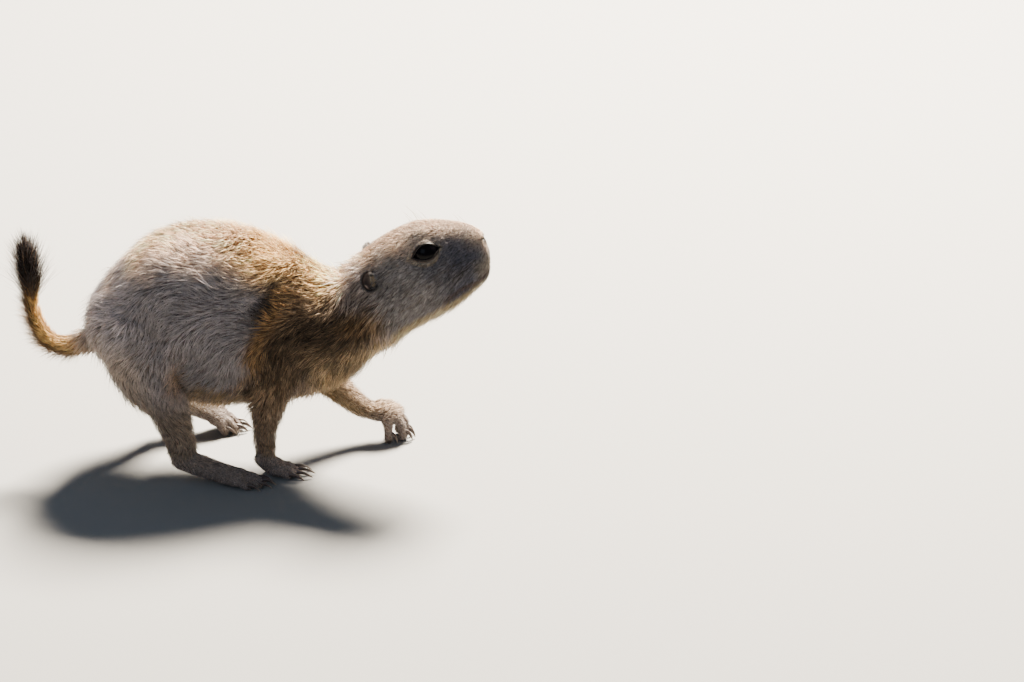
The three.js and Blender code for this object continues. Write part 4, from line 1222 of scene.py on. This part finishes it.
# A claw's rows: [share of the digit, share of the claw, height, half width, half depth]
FLAT_CLAW = [
    [0.8, 0, 2.1, 0.75, 0.95], [0.95, 0.15, 2.7, 0.8, 1], [1, 0.42, 2.75, 0.7, 0.85],
    [1, 0.75, 2.1, 0.5, 0.65], [1, 1.02, 1.3, 0.3, 0.4], [1, 1.18, 0.7, 0.12, 0.18],
]
LIFTED_HIND_CLAW = [
    [0.72, 0, 3.3, 0.75, 0.95], [0.85, 0.15, 3.5, 0.8, 1], [0.92, 0.38, 3.1, 0.7, 0.85],
    [0.92, 0.65, 2.2, 0.5, 0.65], [0.92, 0.85, 1.3, 0.3, 0.4], [0.92, 0.95, 0.7, 0.12, 0.18],
]
LIFTED_FORE_CLAW = [
    [0.45, 0, 4.9, 0.75, 0.95], [0.5, 0.2, 4.9, 0.8, 1], [0.5, 0.42, 4.1, 0.7, 0.85],
    [0.5, 0.56, 2.9, 0.5, 0.65], [0.5, 0.64, 1.7, 0.3, 0.4], [0.5, 0.68, 0.7, 0.12, 0.18],
]
HIND_CLAW, FORE_CLAW = 5.2, 6.4
CLAWS = {
    "hindfoot_right": (HIND_CLAW, FLAT_CLAW),
    "forepaw_right": (FORE_CLAW, FLAT_CLAW),
    "hindfoot_left": (HIND_CLAW, LIFTED_HIND_CLAW),
    "forepaw_left": (FORE_CLAW, LIFTED_FORE_CLAW),
}
CLAW_AROUND = 14
CLAW_DARK, CLAW_POINT = paint(70, 58, 52), paint(150, 134, 116)
horn = hair_finish("horn", roughness=0.36, specular=0.35)
for foot, (claw_length, profile) in CLAWS.items():
    surfaces, tones = [], []
    for i in range(5):
        rings = tube_rings(along_digit(foot, i, np.array(profile, float), claw_length), per_span=5)
        surfaces.append(closed_surface(*rings, CLAW_AROUND))
        from_root = np.repeat(np.linspace(0, 1, len(rings[0])), CLAW_AROUND)
        from_root = np.concatenate([[0], from_root, [1]])
        tones.append(laid(CLAW_DARK, CLAW_POINT, 0.8 * soft(from_root, 0.5, 1)))
    claws = new_piece(f"claws_{foot}", *joined(surfaces))
    colour_points(claws.data, "shade", np.vstack(tones))
    claws.data.materials.append(horn)
    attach(claws, "root")
    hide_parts(*[f"claw_{foot}_{i}" for i in range(1, 6)])

# Tail brush
# Long stiff black-brown hairs that grow all round the tail's last third and spread like a bottle brush,
# and sparser, paler ones down the outer side of its curl.

# Hairs in all, the share of them in the brush, and where along the tail the brush starts
BRISTLES = 4600
IN_BRUSH = 0.6
BRUSH_FROM = 0.7
BRISTLE_DARK, BRISTLE_BROWN = paint(34, 26, 25), paint(120, 92, 68)
BRISTLE_PALE, BRISTLE_ROOT = paint(196, 162, 128), paint(176, 136, 92)


def long_hairs(name, root, way, top, length, bend, width, shade_root, shade_tip, corner, finish, rings=4):
    """A piece of long curved hairs. Each leaves its root along way and bends by a share of its length
    towards bend."""
    n = len(root)
    t = np.linspace(0, 1, rings + 1)[None, :, None]
    path = root[:, None] + length[:, None, None] * (way[:, None] * t + bend[:, None] * t ** 2)
    top = unit(square_to(top, way))
    half = width[:, None] * (1 - 0.8 * t[0, :-1, 0][None] ** 1.5)
    shades = shade_root[:, None] + (shade_tip - shade_root)[:, None] * np.clip(t * 1.6, 0, 1)
    side = np.cross(top, way)
    return strands(name, path[:, :-1], path[:, -1], half, 0.6, side, top, shades, corner, finish)


tail_path = smooth_rows(TAIL, 12)
tail_way = unit(np.gradient(tail_path[:, :3], axis=0))
n = BRISTLES
share_along = rng.random(n)
on_end = BRUSH_FROM + 0.3 * share_along ** 0.9
pick_at = np.where(rng.random(n) < IN_BRUSH, on_end, 0.2 + 0.52 * share_along)
at = np.clip((pick_at * (len(tail_path) - 1)).astype(int), 0, len(tail_path) - 1)
in_brush = pick_at > BRUSH_FROM
turn = rng.uniform(0, 2 * np.pi, n)
turn = np.where(in_brush, turn, np.pi + rng.normal(0, 0.8, n))
out = leant(np.cross(tail_way[at], leftward), leftward, turn)
middle = tail_path[at, :3]
away = unit(middle - CURL)
out = np.where((in_brush | (np.sum(out * away, axis=1) > 0))[:, None], out, -out)
out = np.where(in_brush[:, None], out, unit(out + 1.5 * away))
root = middle + out * (tail_path[at, 3:].mean(axis=1) - COAT_DEPTH["tail"] - 0.2)[:, None]
flare = np.radians(np.where(in_brush, np.abs(rng.normal(20, 14, n)), rng.normal(38, 12, n)))
way = leant(tail_way[at], out, flare)
brush_length = rng.uniform(6, 15.5, n) * (1.25 - 0.35 * soft(pick_at, 0.85, 1))
length = np.where(in_brush, brush_length, rng.uniform(4.5, 9, n))
pale = ~in_brush & (rng.random(n) < 0.75 - 0.8 * soft(pick_at, 0.55, 0.72))
dark = BRISTLE_DARK * rng.uniform(0.6, 1.6, n)[:, None]
dark = np.where((rng.random(n) < 0.05)[:, None], BRISTLE_BROWN, dark)
dark = np.where(pale[:, None], BRISTLE_PALE * rng.uniform(0.6, 1.1, n)[:, None], dark)
root_shade = laid(BRISTLE_ROOT, BLACK, soft(pick_at, 0.66, 0.8))
bend = (tail_way[at] - out) * 0.04 + rng.normal(0, 0.1, (n, 3))
width = np.where(in_brush, rng.uniform(0.09, 0.17, n), rng.uniform(0.06, 0.11, n))
tail_skin = np.flatnonzero(tail_share > 0.5)
nearest = tail_skin[np.linalg.norm(points[tail_skin][None] - root[:, None], axis=2).argmin(axis=1)]
bristle = hair_finish("bristle", roughness=0.5, specular=0.2, thin=0.3)
brush = long_hairs("fur_tail_brush", root, unit(way), out, length, bend, width, root_shade, dark,
                   vertex_uv[nearest], bristle)
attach(brush, "root")

# Whiskers
# Stiff tapering hairs set in the skin: three rows of dark ones on each side of the muzzle, and a few pale
# ones over the eye, on top of the muzzle and on the cheek.

# Each whisker: [forward, left, up, side of the head, length, 1 for a pale one]
whisker_rows = []
for side in (RIGHT, LEFT):
    for row, height in enumerate((4.5, 2.4, 0.4)):
        for k in range(5):
            place = (49.5 - 2.1 * k - 0.5 * row, side * (7.2 + 0.7 * k), height + 0.5 * k)
            whisker_rows.append((*place, side, 11 + 2.6 * k, 0))
    for k in range(6):
        place = (25 + 1.6 * k, side * (8.5 - 0.4 * k), 23.8 - 0.1 * k)
        whisker_rows.append((*place, side, 7 + 1.6 * (k % 4), 1))
    for k in range(3):
        whisker_rows.append((44 + 2.5 * k, side * 3.5, 19 - k, side, 5 + 1.2 * k, 1))
    whisker_rows.append((18, side * 18, -3, side, 11, 1))
f_at, left_at, up_at, side, length, pale = np.array(whisker_rows).T
n = len(length)
spots = on_head(f_at, left_at, up_at)
nearest = np.linalg.norm(points[None] - spots[:, None], axis=2).argmin(axis=1)
root = points[nearest] - 0.3 * normals[nearest]
pale = pale > 0
out, back = np.where(pale, 0.4, 0.7), np.where(pale, 0.25, 0.6)
rising = np.where(pale & (up_at > 0), 1.3, 0.05)
way = leftward * (side * out)[:, None] - forward * back[:, None] + upward * rising[:, None]
way = unit(way + 0.12 * rng.normal(size=(n, 3)))
bend = -forward * 0.28 - np.array([0, 0, 1.0]) * np.where(pale, -0.02, 0.14)[:, None]
tone = np.where(pale[:, None], paint(150, 134, 116), paint(40, 33, 32))
length = length * rng.uniform(0.9, 1.1, n)
whiskers = long_hairs("whiskers", root, way, np.tile([0, 0, 1.0], (n, 1)), length, bend, np.full(n, 0.15),
                      tone, tone * 1.3, vertex_uv[nearest], hair_finish("whisker", 0.5, 0.08), rings=6)
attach(whiskers, "root")

# Stage, light and camera
# A plain grey floor. The sun is a small warm light from behind and above that rims the back, and a
# cool fill and a pale blue sky light the near side like the open shade in the photo.

FLOOR_HALF = 3000
FLOOR_CORNERS = [[-FLOOR_HALF, -FLOOR_HALF, 0], [FLOOR_HALF, -FLOOR_HALF, 0],
                 [FLOOR_HALF, FLOOR_HALF, 0], [-FLOOR_HALF, FLOOR_HALF, 0]]
floor = new_piece("floor", FLOOR_CORNERS, [[0, 1, 2, 3]], np.empty((0, 3)))
floor.data.materials.append(plain_finish("floor_finish", (0.18, 0.177, 0.174), 0.9))

MIDDLE = Vector((0, 0, 0.06))


def soft_light(name, place, size, power, colour):
    """A square area light at a place, turned to the middle of the animal."""
    data = bpy.data.lights.new(name, "AREA")
    data.size, data.energy, data.color = size, power, colour
    light = bpy.data.objects.new(name, data)
    light.location = place
    light.rotation_euler = (MIDDLE - Vector(place)).to_track_quat("-Z", "Y").to_euler()
    bpy.context.scene.collection.objects.link(light)


soft_light("sun", place=(0.45, 1.05, 1.22), size=0.5, power=640, colour=(1, 0.9, 0.74))
soft_light("fill", place=(-0.7, -1.5, 1.1), size=1.2, power=7.5, colour=(0.66, 0.8, 1))
world = bpy.data.worlds.new("studio")
bpy.context.scene.world = world
world.use_nodes = True
sky = world.node_tree.nodes["Background"]
sky.inputs["Color"].default_value = (0.7, 0.82, 1, 1)
sky.inputs["Strength"].default_value = 0.3

# The camera looks down by the angle at which the photo shows the ground, with a long lens from afar
ELEVATION = np.radians(22)
DISTANCE = 2.53
AIM = (0.116, 0, 0.056)
camera_data = bpy.data.cameras.new("camera")
camera_data.lens = 200
camera_data.sensor_width = 36
camera = bpy.data.objects.new("camera", camera_data)
camera.location = (AIM[0], AIM[1] - DISTANCE * np.cos(ELEVATION), AIM[2] + DISTANCE * np.sin(ELEVATION))
camera.rotation_euler = (np.pi / 2 - ELEVATION, 0, 0)
bpy.context.scene.collection.objects.link(camera)
bpy.context.scene.camera = camera
